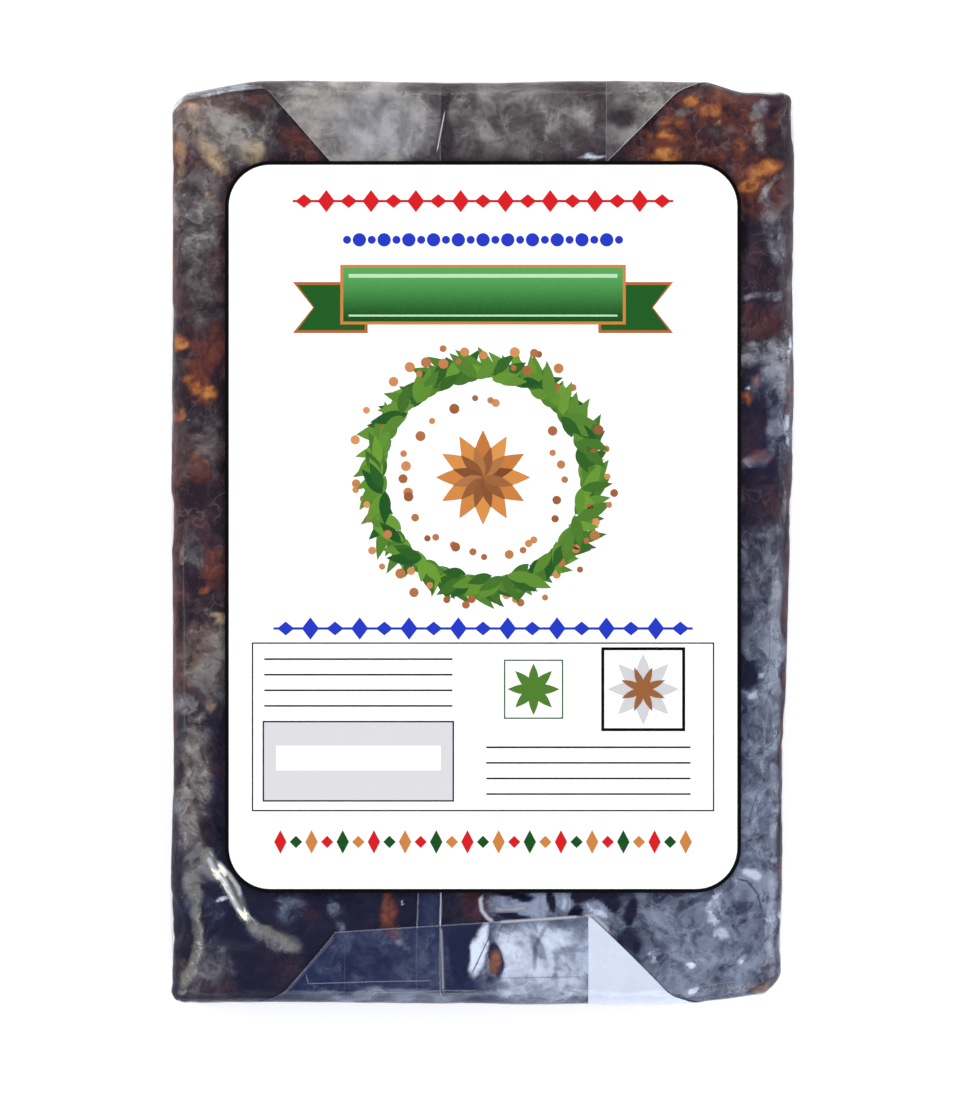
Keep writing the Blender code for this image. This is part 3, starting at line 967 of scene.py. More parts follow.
@dataclass
class FilmWrap:
    """The clear film: the sleeve, its lapped seam, and the folded flaps at both ends."""

    form: BrickForm
    node: str = "film_wrap"
    slot: str = "clear_film"
    step: float = 0.6 * MM
    layer_step: float = 0.7 * MM
    ply: float = 0.04 * MM
    seam_left: float = -12.2 * MM
    seam_right: float = -7.7 * MM
    ribs: tuple[Crease, ...] = (
        Crease(
            ((-52.4, -54), (-51, -58.8), (-47.6, -62.9), (-44.8, -67.8), (-41.8, -71.3), (-35.6, -74.6)),
            0.5,
            0.8,
        ),
        Crease(((-54.6, -60), (-53.1, -72), (-53.2, -77.2), (-55.6, -83.4)), 0.42, 0.9),
        Crease(((53.6, 2), (53.6, -30), (52.4, -52)), 0.35, 1),
        Crease(((46, -63), (52.4, -65.6), (54.6, -70), (54, -75)), 0.3, 0.7),
        Crease(((-52, 80), (-46, 66), (-49, 52)), 0.25, 1),
        Crease(((-55.4, -8), (-55, -36)), 0.3, 0.7),
        Crease(((54, 82), (50, 70), (54, 52)), 0.25, 1),
    )
    insets: dict[tuple[End, Side], Point2] = field(
        default_factory=lambda: {
            (End.TOP, Side.LEFT): (16.8 * MM, 30.9 * MM),
            (End.TOP, Side.RIGHT): (20.0 * MM, 36.2 * MM),
            (End.BOTTOM, Side.LEFT): (19.3 * MM, 30.8 * MM),
            (End.BOTTOM, Side.RIGHT): (20.1 * MM, 37.5 * MM),
        }
    )
    tucks: dict[tuple[End, Side], float] = field(
        default_factory=lambda: {
            (End.TOP, Side.LEFT): 31.5 * MM,
            (End.TOP, Side.RIGHT): 35.1 * MM,
            (End.BOTTOM, Side.LEFT): 32.5 * MM,
            (End.BOTTOM, Side.RIGHT): 37.6 * MM,
        }
    )
    # How strongly painted highlights show along each back flap's left, right and last borders.
    flap_lights: dict[End, tuple[float, float, float]] = field(
        default_factory=lambda: {End.TOP: (0.35, 0.85, 0.3), End.BOTTOM: (0.45, 0.6, 0.30)}
    )
    outer_tuck: tuple[End, Side] = (End.BOTTOM, Side.RIGHT)
    reaches: dict[End, float] = field(default_factory=lambda: {End.TOP: 16.1 * MM, End.BOTTOM: 15.2 * MM})
    slants: dict[End, float] = field(default_factory=lambda: {End.TOP: 0.0, End.BOTTOM: 0.064})
    sleeve: Veils = field(
        default_factory=lambda: {
            # The film's milky haze; the wide rows at the lower right also paint a reflected sheen there.
            Veil.HAZE: (
                (-48.5, 77, 20, 12, -20, 0.48), (-44, 79, 24, 12, -10, 0.2), (-43, 72.7, 4.4, 4.4, 0, -0.16),
                (-50.4, 72, 8, 3, -55, -0.12), (-53.6, 79.2, 2.4, 4, 10, -0.12), (-53, 61, 11, 20, 0, 0.36),
                (-52, 47, 10, 16, 0, 0.24), (-52.5, 19, 9, 12, 0, 0.22), (-53.8, -2, 5, 8, 0, 0.26),
                (-51.5, -22, 10, 18, 0, 0.32), (-55.2, -29.5, 4, 5, 0, 0.42), (-53.6, -48, 6.6, 34, 0, 0.44),
                (-51.2, -53.9, 3.4, 5.2, 10, -0.4), (-54.4, -64, 3.8, 12, 8, 0.34),
                (-51, -79.5, 8, 12, 0, 0.3), (-38.6, -73.8, 10, 3.4, -28, 0.42),
                (-36.2, -68, 6, 4.4, -20, 0.34), (-49.7, -68.6, 4.8, 7, 0, 0.2),
                (-28.1, -67.8, 2.2, 3.2, 0, 0.42), (-26.6, -71, 1.4, 3, 30, 0.35), (0, 78, 60, 14, 0, 0.18),
                (37, 80.9, 3.4, 2.2, 0, 0.32), (51, 81.3, 2.8, 4.8, -15, 0.6), (51.6, 76, 2.2, 8, -6, 0.34),
                (53.6, 66, 1.8, 5, -35, 0.48), (54.4, 58.6, 4.4, 14, 8, 0.36), (45, 76.2, 7, 2, -15, 0.24),
                (52.6, 52, 10, 10, 0, 0.05), (49.6, 45.8, 5, 1.3, 0, 0.36), (54, 46, 4.8, 2, 15, 0.4),
                (54.4, 33, 5.4, 11, 0, 0.56), (50.4, 35, 7, 5.4, 0, 0.5), (57.2, 30, 1.4, 60, 0, 0.3),
                (54.6, 24, 4, 18, 0, 0.44), (52, 28.6, 5, 3, -30, 0.3), (50, 22.4, 5, 5.6, 0, -0.5),
                (51.6, 15.4, 9, 2.6, 10, 0.3), (53.6, 18.6, 4, 2, -20, 0.24), (51, 7.8, 8, 9, 0, -0.3),
                (51.6, -6, 11, 22, 0, 0.34), (52, -28, 11, 34, 0, 0.47), (54.4, -14, 2.4, 28, 2, 0.54),
                (48.6, -24.2, 4, 6.6, 0, -0.65), (51, -50, 11, 28, 0, 0.55), (40, -76, 42, 24, 0, 0.6),
                (48, -70, 20, 26, 0, 0.58), (27, -74.6, 4.6, 6, 40, -0.45), (52.6, -79.6, 5, 7, 0, -0.16),
                (48.6, -67.4, 2.6, 7, 0, -0.2), (8, -67.8, 14, 6, 0, 0.85), (15, -67.6, 5, 6, 0, 0.8),
                (21.4, -69, 6, 4.4, -10, 0.9), (5.8, -66, 7, 1.6, 0, -0.95), (6, -69.5, 5.6, 1.4, 0, -0.9),
                (12.8, -67, 1.8, 3, 0, -0.95), (18, -66.2, 2.6, 1.6, 0, -0.9),
                (17.6, -68.9, 2.6, 1.8, 0, -0.9), (24.2, -66.4, 2.2, 2.8, 0, -0.9),
                (27.6, -69.4, 1.8, 4, 0, -0.9), (2.4, -77.6, 3.6, 6.4, 0, -0.6),
                (56.2, -30, 90, 1.5, 88.4, -0.38), (52.2, -83.2, 4.4, 2.4, 30, -0.4),
            ),
            # Painted sheen and highlights, such as the bright patches at the lower right and along the right
            # edge.
            Veil.GLEAM: (
                (43.2, -68, 3.4, 7.4, -5, 0.5), (44.4, -72.6, 3.4, 2.4, -30, 0.46),
                (50.2, -61.6, 4.6, 2.4, -15, 0.5), (46.6, -62.8, 3, 1.6, -30, 0.44),
                (32.2, -76.9, 3.6, 2.4, 25, 0.52), (38.7, -78.4, 2.4, 1.4, -20, 0.72),
                (48.6, -77.4, 2.8, 1.6, 30, 0.5), (39.4, -83.2, 2.6, 1.3, 20, 0.58),
                (53.6, -70, 2.6, 1.6, 0, 0.42), (-48.4, -66.1, 2.6, 0.9, 5, 0.72), (57, 36.4, 1, 7, 0, 0.6),
                (56.6, 21, 1.1, 9, 0, 0.48), (56.2, 8.1, 1.1, 10, 0, 0.48), (55.4, -72, 0.9, 7, 0, 0.5),
                (52, -24, 1.3, 3.8, -25, 0.46), (50.6, -28.4, 3.4, 1.6, 15, 0.4),
                (53.2, -28.8, 1.6, 3, 15, 0.4), (-48.5, 84.5, 17, 1.8, 9, 0.66), (-34, 85.6, 16, 1.2, 2, 0.6),
                (-15, -66.8, 1.2, 1.2, 0, 0.66), (49.4, 28.6, 1.4, 1, 0, 0.62),
                (-54.4, 22.6, 1.2, 0.9, 0, 0.5), (21.6, -68.6, 5, 1.6, -35, 0.5),
                (15, -67.2, 1.6, 2.6, 0, 0.45),
            ),
            # Painted highlights along the two ribs at the lower left.
            Veil.GLINT: (
                (-51, -58.8, 3.6, 2.4, -62, 0.62), (-49.2, -61.2, 4.6, 3.2, -45, 0.78),
                (-47.2, -63.8, 4.6, 3.2, -55, 0.68), (-45.8, -66.4, 4.2, 2.8, -65, 0.62),
                (-44.6, -68.8, 4, 2.2, -55, 0.85), (-42.9, -70.8, 3.4, 1.8, -40, 0.6),
                (-39.6, -72.4, 6, 1.8, -25, 0.42), (-35.6, -74.3, 6, 2.6, -28, 0.32),
                (-53.9, -64, 7, 2.6, -75, 0.34), (-53, -70.4, 7, 1.8, -83, 0.5),
                (-53.4, -76.2, 6.6, 2, 75, 0.58), (-55, -80.6, 6, 2, 62, 0.5), (-56, -83.6, 1.6, 1, 0, 0.6),
            ),
        }
    )
    layers: Veils = field(
        default_factory=lambda: {
            Veil.HAZE: (
                (-24, 78, 30, 20, 0, 0.62), (-18.6, 77.4, 13, 9, 10, 0.92), (-28, 75.4, 4.4, 6, 20, -0.14),
                (-17.4, 75, 7, 1.8, 35, -0.3), (-33, 82.6, 9, 5, -30, 0.6), (6, 79, 34, 14, 0, 0.32),
                (-7, 77, 2, 14, 0, -0.2), (17, 79.4, 8, 6, 0, 0.36), (29, 80, 16, 14, 40, 0.34),
                (26.4, 78.4, 6, 3.8, -15, -0.3), (-20, -78, 40, 18, 0, 0.12), (-12, -78, 16, 12, 0, 0.17),
                (-16, -84.4, 34, 2.6, 0, 0.4), (-26, -73.8, 3.6, 4.2, -30, 0.24),
                (-22, -77.4, 5, 3.4, 0, 0.2), (-14.5, -74.6, 4.8, 1.6, -30, 0.32),
                (12, -77.4, 24, 17, 0, 0.74), (2.4, -77.4, 3.4, 6, 0, -0.7), (-4.4, -76.4, 3, 9, 0, -0.3),
            ),
            # Painted highlights on the flaps, such as the white wedge on the bottom flap.
            Veil.GLEAM: (
                (20.3, 71.9, 5.6, 1.3, -8, 0.8), (-0.6, -75.8, 3, 10.4, -14, 0.95),
                (11, -77, 26, 13, 0, 0.62), (17.6, -76, 3.6, 8, 0, -0.25), (11, -83.6, 26, 3, 0, 0.42),
                (2.6, -77.4, 2.2, 5.4, 8, -0.8), (10.6, -75.4, 1.8, 7, 20, -0.3),
                (15.6, -75.6, 5, 2, 20, -0.2),
            ),
        }
    )
    folded: dict[tuple[End, Side], Veils] = field(
        default_factory=lambda: {
            (End.TOP, Side.LEFT): {Veil.HAZE: ((-33.0, 80.0, 20.0, 20.0, 0, 0.20),)},
            (End.TOP, Side.RIGHT): {
                Veil.HAZE: ((30.0, 80.0, 26.0, 26.0, 0, 0.46), (26.4, 78.4, 6.0, 3.8, -15, -0.4)),
            },
            (End.BOTTOM, Side.LEFT): {Veil.HAZE: ((-31.0, -80.0, 20.0, 20.0, 0, 0.10),)},
            (End.BOTTOM, Side.RIGHT): {
                # A painted highlight over the bottom right tuck.
                Veil.GLEAM: ((28.0, -78.0, 36.0, 40.0, 0, 1.3),),
            },
        }
    )
    lap: Veils = field(
        default_factory=lambda: {
            Veil.HAZE: ((-9.4, -76.0, 4.0, 24.0, 0, 0.16), (-10.0, 78.0, 5.0, 16.0, 0, 0.2)),
        }
    )
    # Creases and cut edges, with the points, width, painted highlight strength and lift of each; a negative
    # strength paints a dark line.
    lines: tuple[FoldLine, ...] = (
        FoldLine(((-26.6, 85), (-26.9, 81)), 0.24, 0.55),
        FoldLine(((-6.9, 80.9), (-8.6, 72.2)), 0.3, 0.9),
        FoldLine(((-10.2, 84.6), (-10, 71.6)), 0.6, 0.3),
        FoldLine(((2.6, -70.6), (10, -70.1), (19.2, -69.5)), 0.7, 0.8),
        FoldLine(((0.2, -65), (-0.4, -66.6), (-0.1, -68.4), (1, -69.8), (2.8, -70.9)), 0.95, 0.85, 0.05),
        FoldLine(((1.7, -67.8), (3.6, -68.3), (5.8, -68.2), (9.2, -67.7)), 1.2, 0.6, 0.05),
        FoldLine(((2.6, -65.3), (2.2, -66.4), (2.8, -67.4)), 0.8, 0.5, 0.05),
        FoldLine(((11.3, -65.2), (11.1, -67.6), (11.4, -69.6)), 0.55, 0.5, 0.05),
        FoldLine(((16.4, -65.2), (16.9, -66.8), (16.8, -68), (16.2, -69.2)), 0.6, 0.6, 0.05),
        FoldLine(((19, -69.4), (21.4, -69.3), (24, -71.6), (25, -73)), 0.9, 0.7, 0.33),
        FoldLine(
            ((-51.4, -57.8), (-50.2, -60.4), (-47.9, -63), (-46.8, -65.6), (-45.4, -68.2), (-42.8, -70.6)),
            1.2,
            0.9,
            0.05,
        ),
        FoldLine(((-49.8, -58.8), (-47, -61.8), (-45.4, -64.2), (-44.9, -66.4)), 1, 0.8, 0.05),
        FoldLine(((-44.2, -67.8), (-43.2, -69.6), (-42, -70.6)), 0.45, 0.7, 0.05),
        FoldLine(((-42.6, -70.5), (-39, -72.2), (-35.4, -74.4)), 0.9, 0.25, 0.05),
        FoldLine(((-53.6, -68.6), (-52.3, -72.2), (-52.5, -75.6), (-53.6, -79.6)), 0.9, 0.35, 0.05),
        FoldLine(((-33, -79.5), (-32.4, -82), (-20, -81.6), (-8.8, -81.4)), 0.26, 0.5),
        FoldLine(((-23.9, -85.1), (-22, -83.9), (-7.8, -83.3), (0, -83.2)), 0.3, 0.45),
        FoldLine(((-20.8, -85.2), (-19.1, -84.2), (-8, -84), (0, -83.9)), 0.24, 0.4),
        FoldLine(((0.7, -81), (12, -80.8), (20, -80.7)), 0.24, -0.35),
        FoldLine(((-7.7, -71), (-7.5, -77), (-7.3, -84)), 0.6, 0.6),
        FoldLine(((-7.7, -65.2), (-7.7, -70.8)), 0.5, 0.4, 0.12),
        FoldLine(((-37, -84.2), (-27.2, -72.9)), 0.6, 0.3),
        FoldLine(((2.1, -71.6), (-0.2, -76.4), (-2.2, -80.6)), 0.26, -0.9),
        FoldLine(((4.2, -70.2), (2.6, -74)), 0.22, -0.7),
        FoldLine(((6.4, -70), (4.6, -74.8)), 0.22, 0.7),
        FoldLine(((12.4, -71), (10.2, -75), (10, -80)), 0.9, -0.4),
        FoldLine(((28.8, -83.6), (40, -83.2), (51, -82.4)), 0.3, 0.45, 0.05),
        FoldLine(((48.8, -63.2), (51.2, -64), (53.2, -66.6), (54.2, -70.6)), 0.34, -0.8, 0.05),
        FoldLine(((46.8, -79), (47.8, -79.7), (49.4, -79.3)), 0.4, -0.9, 0.05),
        FoldLine(((-49.9, -66), (-49, -66.4), (-48.2, -65.8), (-47.6, -66.2)), 0.26, 0.9, 0.05),
        FoldLine(((-55.8, 2), (-55.6, -18), (-55.5, -35)), 0.3, 0.3, 0.05),
        FoldLine(((54.8, -4), (54.6, -24), (53.6, -46)), 0.4, 0.3, 0.05),
        FoldLine(((53.4, -46), (51.8, -50.6), (51.2, -54)), 0.36, -0.6, 0.05),
    )

    def raised(self, point: Vector, normal: Vector) -> float:
        """The sleeve's height over the brick's surface: it sags into hollows and stands up in ribs.

        Args:
            point: a point on the brick.
            normal: the way out of it.

        Returns:
            The height in metres.
        """
        free = 1.0
        height = -0.05 * MM
        if normal.z > 0.5:
            free = self.form.beyond_label(point.x, point.y)
            height += sum(rib.rise(point.x, point.y) for rib in self.ribs) * min(free * 3.0, 1.0)
        pucker = noise.noise(point / (5.0 * MM)) * 0.10 * MM
        sag = 0.30 * hollow(point) * (0.3 + 0.7 * abs(normal.z))
        return height - free * (sag + 0.05 * MM - min(pucker, 0.05 * MM))

    def shade(
        self,
        mesh: Mesh,
        spots: Veils,
        plain: float,
        edge: np.ndarray | None = None,
    ) -> None:
        """Stores how the film looks at each place, painted light included.

        Args:
            mesh: a piece of the film.
            spots: its hazy places, and its painted sheen and highlights.
            plain: its haze elsewhere on the front.
            edge: how strongly painted highlight lines show on its cut and folded edges, dark where negative,
                or None where it has none.
        """
        points = points_of(mesh)
        front = np.clip((points[:, 2] - self.form.half.z) / (6 * MM), 0.0, 1.0)
        haze = np.clip(plain + paint(points, spots.get(Veil.HAZE, ()), 1.6, 6.0), 0.0, 1.0)
        set_attribute(mesh, Veil.HAZE.value, 0.22 + (haze - 0.22) * front)
        # Painted light tint, painted sheen, painted rib highlights and painted edge lines.
        set_attribute(mesh, Veil.COOL.value, painted_light_tint_strength(points))
        set_attribute(mesh, Veil.GLEAM.value, paint(points, spots.get(Veil.GLEAM, ()), 0.7, 2.4) * front)
        set_attribute(mesh, Veil.GLINT.value, paint(points, spots.get(Veil.GLINT, ()), 0.5, 2.0) * front)
        set_attribute(mesh, Veil.EDGE.value, np.zeros(len(points)) if edge is None else edge)

    def build_sleeve(self, material: Material) -> Object:
        """The film round the whole brick.

        Args:
            material: the film's finish.

        Returns:
            The piece.
        """
        mesh = self.form.skin(self.step, self.raised)
        self.shade(mesh, self.sleeve, 0.03)
        return place_piece(new_piece("film_sleeve", mesh, [material]), self.node)

    def build_sheet(
        self,
        name: str,
        end: End,
        stations: Sequence[float],
        borders: Borders,
        lift: float,
        lights: tuple[float, float, float],
        spots: Veils,
        material: Material,
    ) -> Object:
        """A layer of film that lies over an end and the front.

        Args:
            name: the piece's name.
            end: the end.
            stations: how far along the way up the end its rows lie.
            borders: gives its left and right border at a station.
            lift: its height over the sleeve.
            lights: how strongly painted highlights show on its left, right and last borders.
            spots: its hazy and its bright places.
            material: its finish.

        Returns:
            The piece.
        """
        bead = 0.32 * MM
        thick = self.form.thickness
        points, faces, edge = [], [], []
        columns = 0
        for row, along in enumerate(stations):
            left, right = borders(along)
            climb = self.slants[end] * max(along - thick, 0.0) / self.reaches[end]
            shares = self._shares(right - left, bead)
            columns = columns or len(shares)
            last = row == len(stations) - 1
            for share in np.interp(np.linspace(0, 1, columns), np.linspace(0, 1, len(shares)), shares):
                x = left + (right - left) * share
                # The painted highlight on the border, which also lifts it a little.
                lip = max(lights[0] * (share == 0.0), lights[1] * (share == 1.0), lights[2] * last)
                edge.append(float(lip))

                def raised(point: Vector, normal: Vector, lip: float = lip) -> float:
                    """How far the layer stands off the brick's form."""
                    wave = noise.noise(point / (9.0 * MM) + Vector((lift / MM * 31, 0, 0)))
                    return self.raised(point, normal) + lift + (0.05 + 0.05 * wave + 0.05 * lip) * MM

                points.append(self.form.surface(self.form.end_point(end, x, along + climb * x), raised))
        for row in range(len(stations) - 1):
            for column in range(columns - 1):
                start = row * columns + column
                ring = (start, start + 1, start + columns + 1, start + columns)
                faces.append(ring if end is End.BOTTOM else ring[::-1])
        mesh = bpy.data.meshes.new(name)
        mesh.from_pydata(points, [], faces)
        self.shade(mesh, spots, 0.04, np.array(edge))
        piece = new_piece(name, mesh, [material])
        ply = piece.modifiers.new("ply", "SOLIDIFY")
        ply.thickness = self.ply
        return place_piece(piece, self.node)

    def _shares(self, width: float, bead: float) -> list[float]:
        """Where a row's points lie across a sheet: a narrow strip at each border, and even cells between."""
        thin = min(bead / width, 0.2)
        return [0.0, *even_steps(thin, 1.0 - thin, self.layer_step / width), 1.0]

    def flap_borders(self, end: End) -> Borders:
        """The back flap's borders, which narrow from the back corners up the end and over the front.

        Args:
            end: the end.

        Returns:
            A function from the way along to the left and right border.
        """
        thick, half = self.form.thickness, self.form.half.x

        def borders(along: float) -> Point2:
            """Where the flap's left and right borders are, this far along it."""
            sides = []
            for side in Side:
                at_edge, at_free = self.insets[end, side]
                past = max(along - thick, 0.0) / self.reaches[end]
                inset = at_edge * min(along, thick) / thick + (at_free - at_edge) * past
                sides.append(side.value * (half - inset))
            return sides[0], sides[1]

        return borders

    def build_end(self, end: End, material: Material) -> None:
        """The folded layers of one end, from the inmost out.

        Args:
            end: the end.
            material: the film's finish.
        """
        name = end.name.lower()
        thick, half = self.form.thickness, self.form.half.x
        inner = 0.6 * MM
        down = even_steps(inner, thick - inner, 1.0 * MM)

        def front_flap(along: float) -> Point2:
            """Where the front flap's borders are: it narrows towards its fold."""
            inset = (thick - along) * 0.9 + inner
            return inset - half, half - inset

        # Painted highlight strengths for the left, right and last borders.
        lights = (0.6, 0.6, 0.0)
        self.build_sheet(f"{name}_front_flap", end, down, front_flap, FRONT_FLAP_LIFT, lights, {}, material)
        borders = self.flap_borders(end)
        full = even_steps(inner, thick + self.reaches[end], 0.7 * MM)
        full = full[:-1] + [full[-1] - 0.32 * MM, full[-1]]
        for side in Side:
            limit = side.value * (half - self.tucks[end, side])

            def tuck(along: float, side: Side = side, limit: float = limit) -> Point2:
                """Where a tucked side's borders are: from the flap's own border to its limit."""
                left, right = borders(along)
                return (left, limit) if side is Side.LEFT else (limit, right)

            # Painted highlight strengths for the tuck's left, right and last borders.
            lights = (0.0, 0.4, 0.0) if side is Side.LEFT else (0.7, 0.0, 0.0)
            piece = f"{name}_tuck_{side.name.lower()}"
            lift = OUTER_TUCK_LIFT if (end, side) == self.outer_tuck else TUCK_LIFT
            self.build_sheet(piece, end, full, tuck, lift, lights, self.folded.get((end, side), {}), material)
        lights = self.flap_lights[end]
        piece = f"{name}_back_flap"
        self.build_sheet(piece, end, full, borders, BACK_FLAP_LIFT, lights, self.layers, material)

    def build_seam(self, end: End, material: Material) -> None:
        """The lap of the sleeve's two sides, from the label to an end and round its edge.

        Args:
            end: the end that it runs to.
            material: the film's finish.
        """
        label = self.form.label_high.y if end is End.TOP else -self.form.label_low.y
        far = self.form.thickness + self.form.half.y - label + 2.0 * MM
        stations = even_steps(0.5 * MM, far, 0.9 * MM)

        def borders(along: float) -> Point2:
            """Where the lap's borders are: they sway a little."""
            sway = 0.25 * MM * math.sin(along / (6.0 * MM))
            return self.seam_left + sway, self.seam_right + 0.4 * sway

        # Painted highlight strengths for the lap's left, right and last borders.
        lights = (0.2, 0.4, 0.0) if end is End.TOP else (0.35, 1.0, 0.0)
        name = f"seam_{end.name.lower()}"
        self.build_sheet(name, end, stations, borders, SEAM_LIFT, lights, self.lap, material)

    def build_lines(self, material: Material) -> Object:
        """The sharp creases, as narrow ridges that lie on the film, with painted highlight and dark lines
        along them.

        Args:
            material: the film's finish.

        Returns:
            The piece.
        """
        points, faces, edge = [], [], []
        for line in self.lines:
            first = len(points)
            rows = self._sampled(line.points, 0.4)
            for i, (place, aside) in enumerate(rows):
                fade = min(i, len(rows) - 1 - i, 3) / 3
                for share in (-1.0, 0.0, 1.0):
                    x, y = Vector(place) + Vector(aside) * share * line.width / 2 * (0.4 + 0.6 * fade)
                    ridge = (line.lift + 0.05 * (share == 0.0)) * MM

                    def raised(point: Vector, normal: Vector, ridge: float = ridge) -> float:
                        """How far the ridge stands off the brick's form."""
                        return self.raised(point, normal) + ridge

                    points.append(self.form.surface(Vector((x * MM, y * MM, self.form.half.z)), raised))
                    # Painted line strength, strongest along the middle.
                    edge.append(line.light * (0.5 + 0.5 * (share == 0.0)) * fade)
            for i in range(len(rows) - 1):
                for column in (0, 1):
                    start = first + i * 3 + column
                    faces.append((start, start + 1, start + 4, start + 3))
        mesh = bpy.data.meshes.new("fold_lines")
        mesh.from_pydata(points, [], faces)
        # The ribs' painted highlights carry over onto the lines.
        self.shade(mesh, {Veil.GLINT: self.sleeve[Veil.GLINT]}, 0.0, np.array(edge))
        return place_piece(new_piece("fold_lines", mesh, [material]), self.node)

    @staticmethod
    def _sampled(corners: Sequence[Point2], step: float) -> list[tuple[Vector, Vector]]:
        """Even places along a line, each with the way across it.

        Args:
            corners: the line's corners.
            step: about how far apart the places are.

        Returns:
            Pairs of place and way across.
        """
        rows = []
        for start, end in zip(corners, corners[1:], strict=False):
            first, along = Vector(start), Vector(end) - Vector(start)
            aside = Vector((along.y, -along.x)).normalized()
            count = max(round(along.length / step), 2)
            rows += [(first + along * i / count, aside) for i in range(0 if not rows else 1, count + 1)]
        return rows

    def build(self) -> None:
        """Builds and dresses the whole wrap."""
        sleeve = FilmFinish("film_sleeve").build()
        layer = FilmFinish("film_layer", clear=0.16, milk=0.76, dips=0.04, patch=0.45).build()
        # The lines' finish shows only painted lines and painted rib highlights.
        crease = FilmFinish("film_crease_painted_lines", clear=0.0, milk=0.0, edge=0.85).build()
        self.build_sleeve(sleeve)
        for end in End:
            self.build_seam(end, layer)
            self.build_end(end, layer)
        self.build_lines(crease)


@dataclass
class PaperLabel:
    """The sticker: paper with round corners and a generic print, on the brick's front."""

    form: BrickForm
    node: str = "label"
    slot: str = "label_paper"
    radius: float = 8.4 * MM
    paper: float = 0.12 * MM
    ink: float = 0.02 * MM
    cell: float = 3.0 * MM

    def __post_init__(self) -> None:
        """Takes the label's place from its CAD node."""
        low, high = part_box(self.node)
        self.low, self.high = low, high
        self.middle = (low + high) / 2
        self.size = high - low

    def lie(self, x: float, y: float) -> float:
        """How far the paper stands over its flat place."""
        return 0.05 * MM * noise.noise(Vector((x, y, 0)) / (30 * MM)) + 0.03 * MM

    def outline(self, inset: float, width: float, height: float, radius: float) -> list[Point2]:
        """A rectangle with round corners.

        Args:
            inset: how far in from the full size it lies.
            width: the full width.
            height: the full height.
            radius: the full size's corner radius.

        Returns:
            Its points, counter-clockwise, round the origin.
        """
        half_x, half_y = width / 2 - inset, height / 2 - inset
        turn = max(radius - inset, 0.0)
        points = []
        for quarter, (sx, sy) in enumerate(((1, 1), (-1, 1), (-1, -1), (1, -1))):
            for step in range(CORNER_STEPS + 1 if turn else 1):
                angle = math.pi / 2 * (quarter + step / CORNER_STEPS)
                out = (math.cos(angle) * turn, math.sin(angle) * turn) if turn else (0.0, 0.0)
                points.append((sx * (half_x - turn) + out[0], sy * (half_y - turn) + out[1]))
        return points

    def plate(
        self,
        name: str,
        shapes: Iterable[tuple[Sequence[Point2], float]],
        base: float,
        thickness: float,
        material: Material,
    ) -> Object:
        """Thin closed plates that lie as the paper does.

        Args:
            name: the piece's name.
            shapes: each plate's outline, counter-clockwise in metres, and its tone.
            base: the height of their underside.
            thickness: their thickness.
            material: their finish.

        Returns:
            The piece.
        """
        mesh_data = bmesh.new()
        tone = mesh_data.verts.layers.float.new("tone")
        for number, (outline, shade) in enumerate(shapes):
            floor = number % PRINT_HEIGHTS * 0.001 * MM
            ring = [mesh_data.verts.new((x, y, floor)) for x, y in outline]
            face = mesh_data.faces.new(ring)
            made = bmesh.ops.extrude_face_region(mesh_data, geom=[face])["geom"]
            top = [item for item in made if isinstance(item, bmesh.types.BMVert)]
            bmesh.ops.translate(mesh_data, vec=(0, 0, thickness), verts=top)
            for vertex in ring + top:
                vertex[tone] = shade
        bmesh.ops.recalc_face_normals(mesh_data, faces=mesh_data.faces)
        self.cut_to_cells(mesh_data)
        for vertex in mesh_data.verts:
            vertex.co.z += base + self.lie(vertex.co.x, vertex.co.y)
        bmesh.ops.triangulate(mesh_data, faces=[f for f in mesh_data.faces if len(f.verts) > 4])
        mesh = bpy.data.meshes.new(name)
        mesh_data.to_mesh(mesh)
        mesh_data.free()
        piece = new_piece(name, mesh, [material])
        mesh.set_sharp_from_angle(angle=math.radians(40))
        return place_piece(piece, self.node)

    def cut_to_cells(self, mesh_data: bmesh.types.BMesh) -> None:
        """Cuts wide plates along a grid, so that they can bend with the paper.

        Args:
            mesh_data: the plates.
        """
        for axis, (low, high) in enumerate(zip(self.low[:2], self.high[:2], strict=True)):
            normal = Vector((axis == 0, axis == 1, 0))
            for line in even_steps(low, high, self.cell)[1:-1]:
                geometry = mesh_data.verts[:] + mesh_data.edges[:] + mesh_data.faces[:]
                place = {"plane_co": normal * line, "plane_no": normal}
                bmesh.ops.bisect_plane(mesh_data, geom=geometry, dist=1e-8, **place)

    def build(self) -> None:
        """Builds and dresses the paper and its print."""
        base = self.low.z + 0.02 * MM
        edge = self.outline(0, self.size.x, self.size.y, self.radius)
        sheet = [(x + self.middle.x, y + self.middle.y) for x, y in edge]
        self.plate("label_paper", [(sheet, 0.5)], base, self.paper, PaperFinish().build())
        LabelPrint(self, base + self.paper).build()


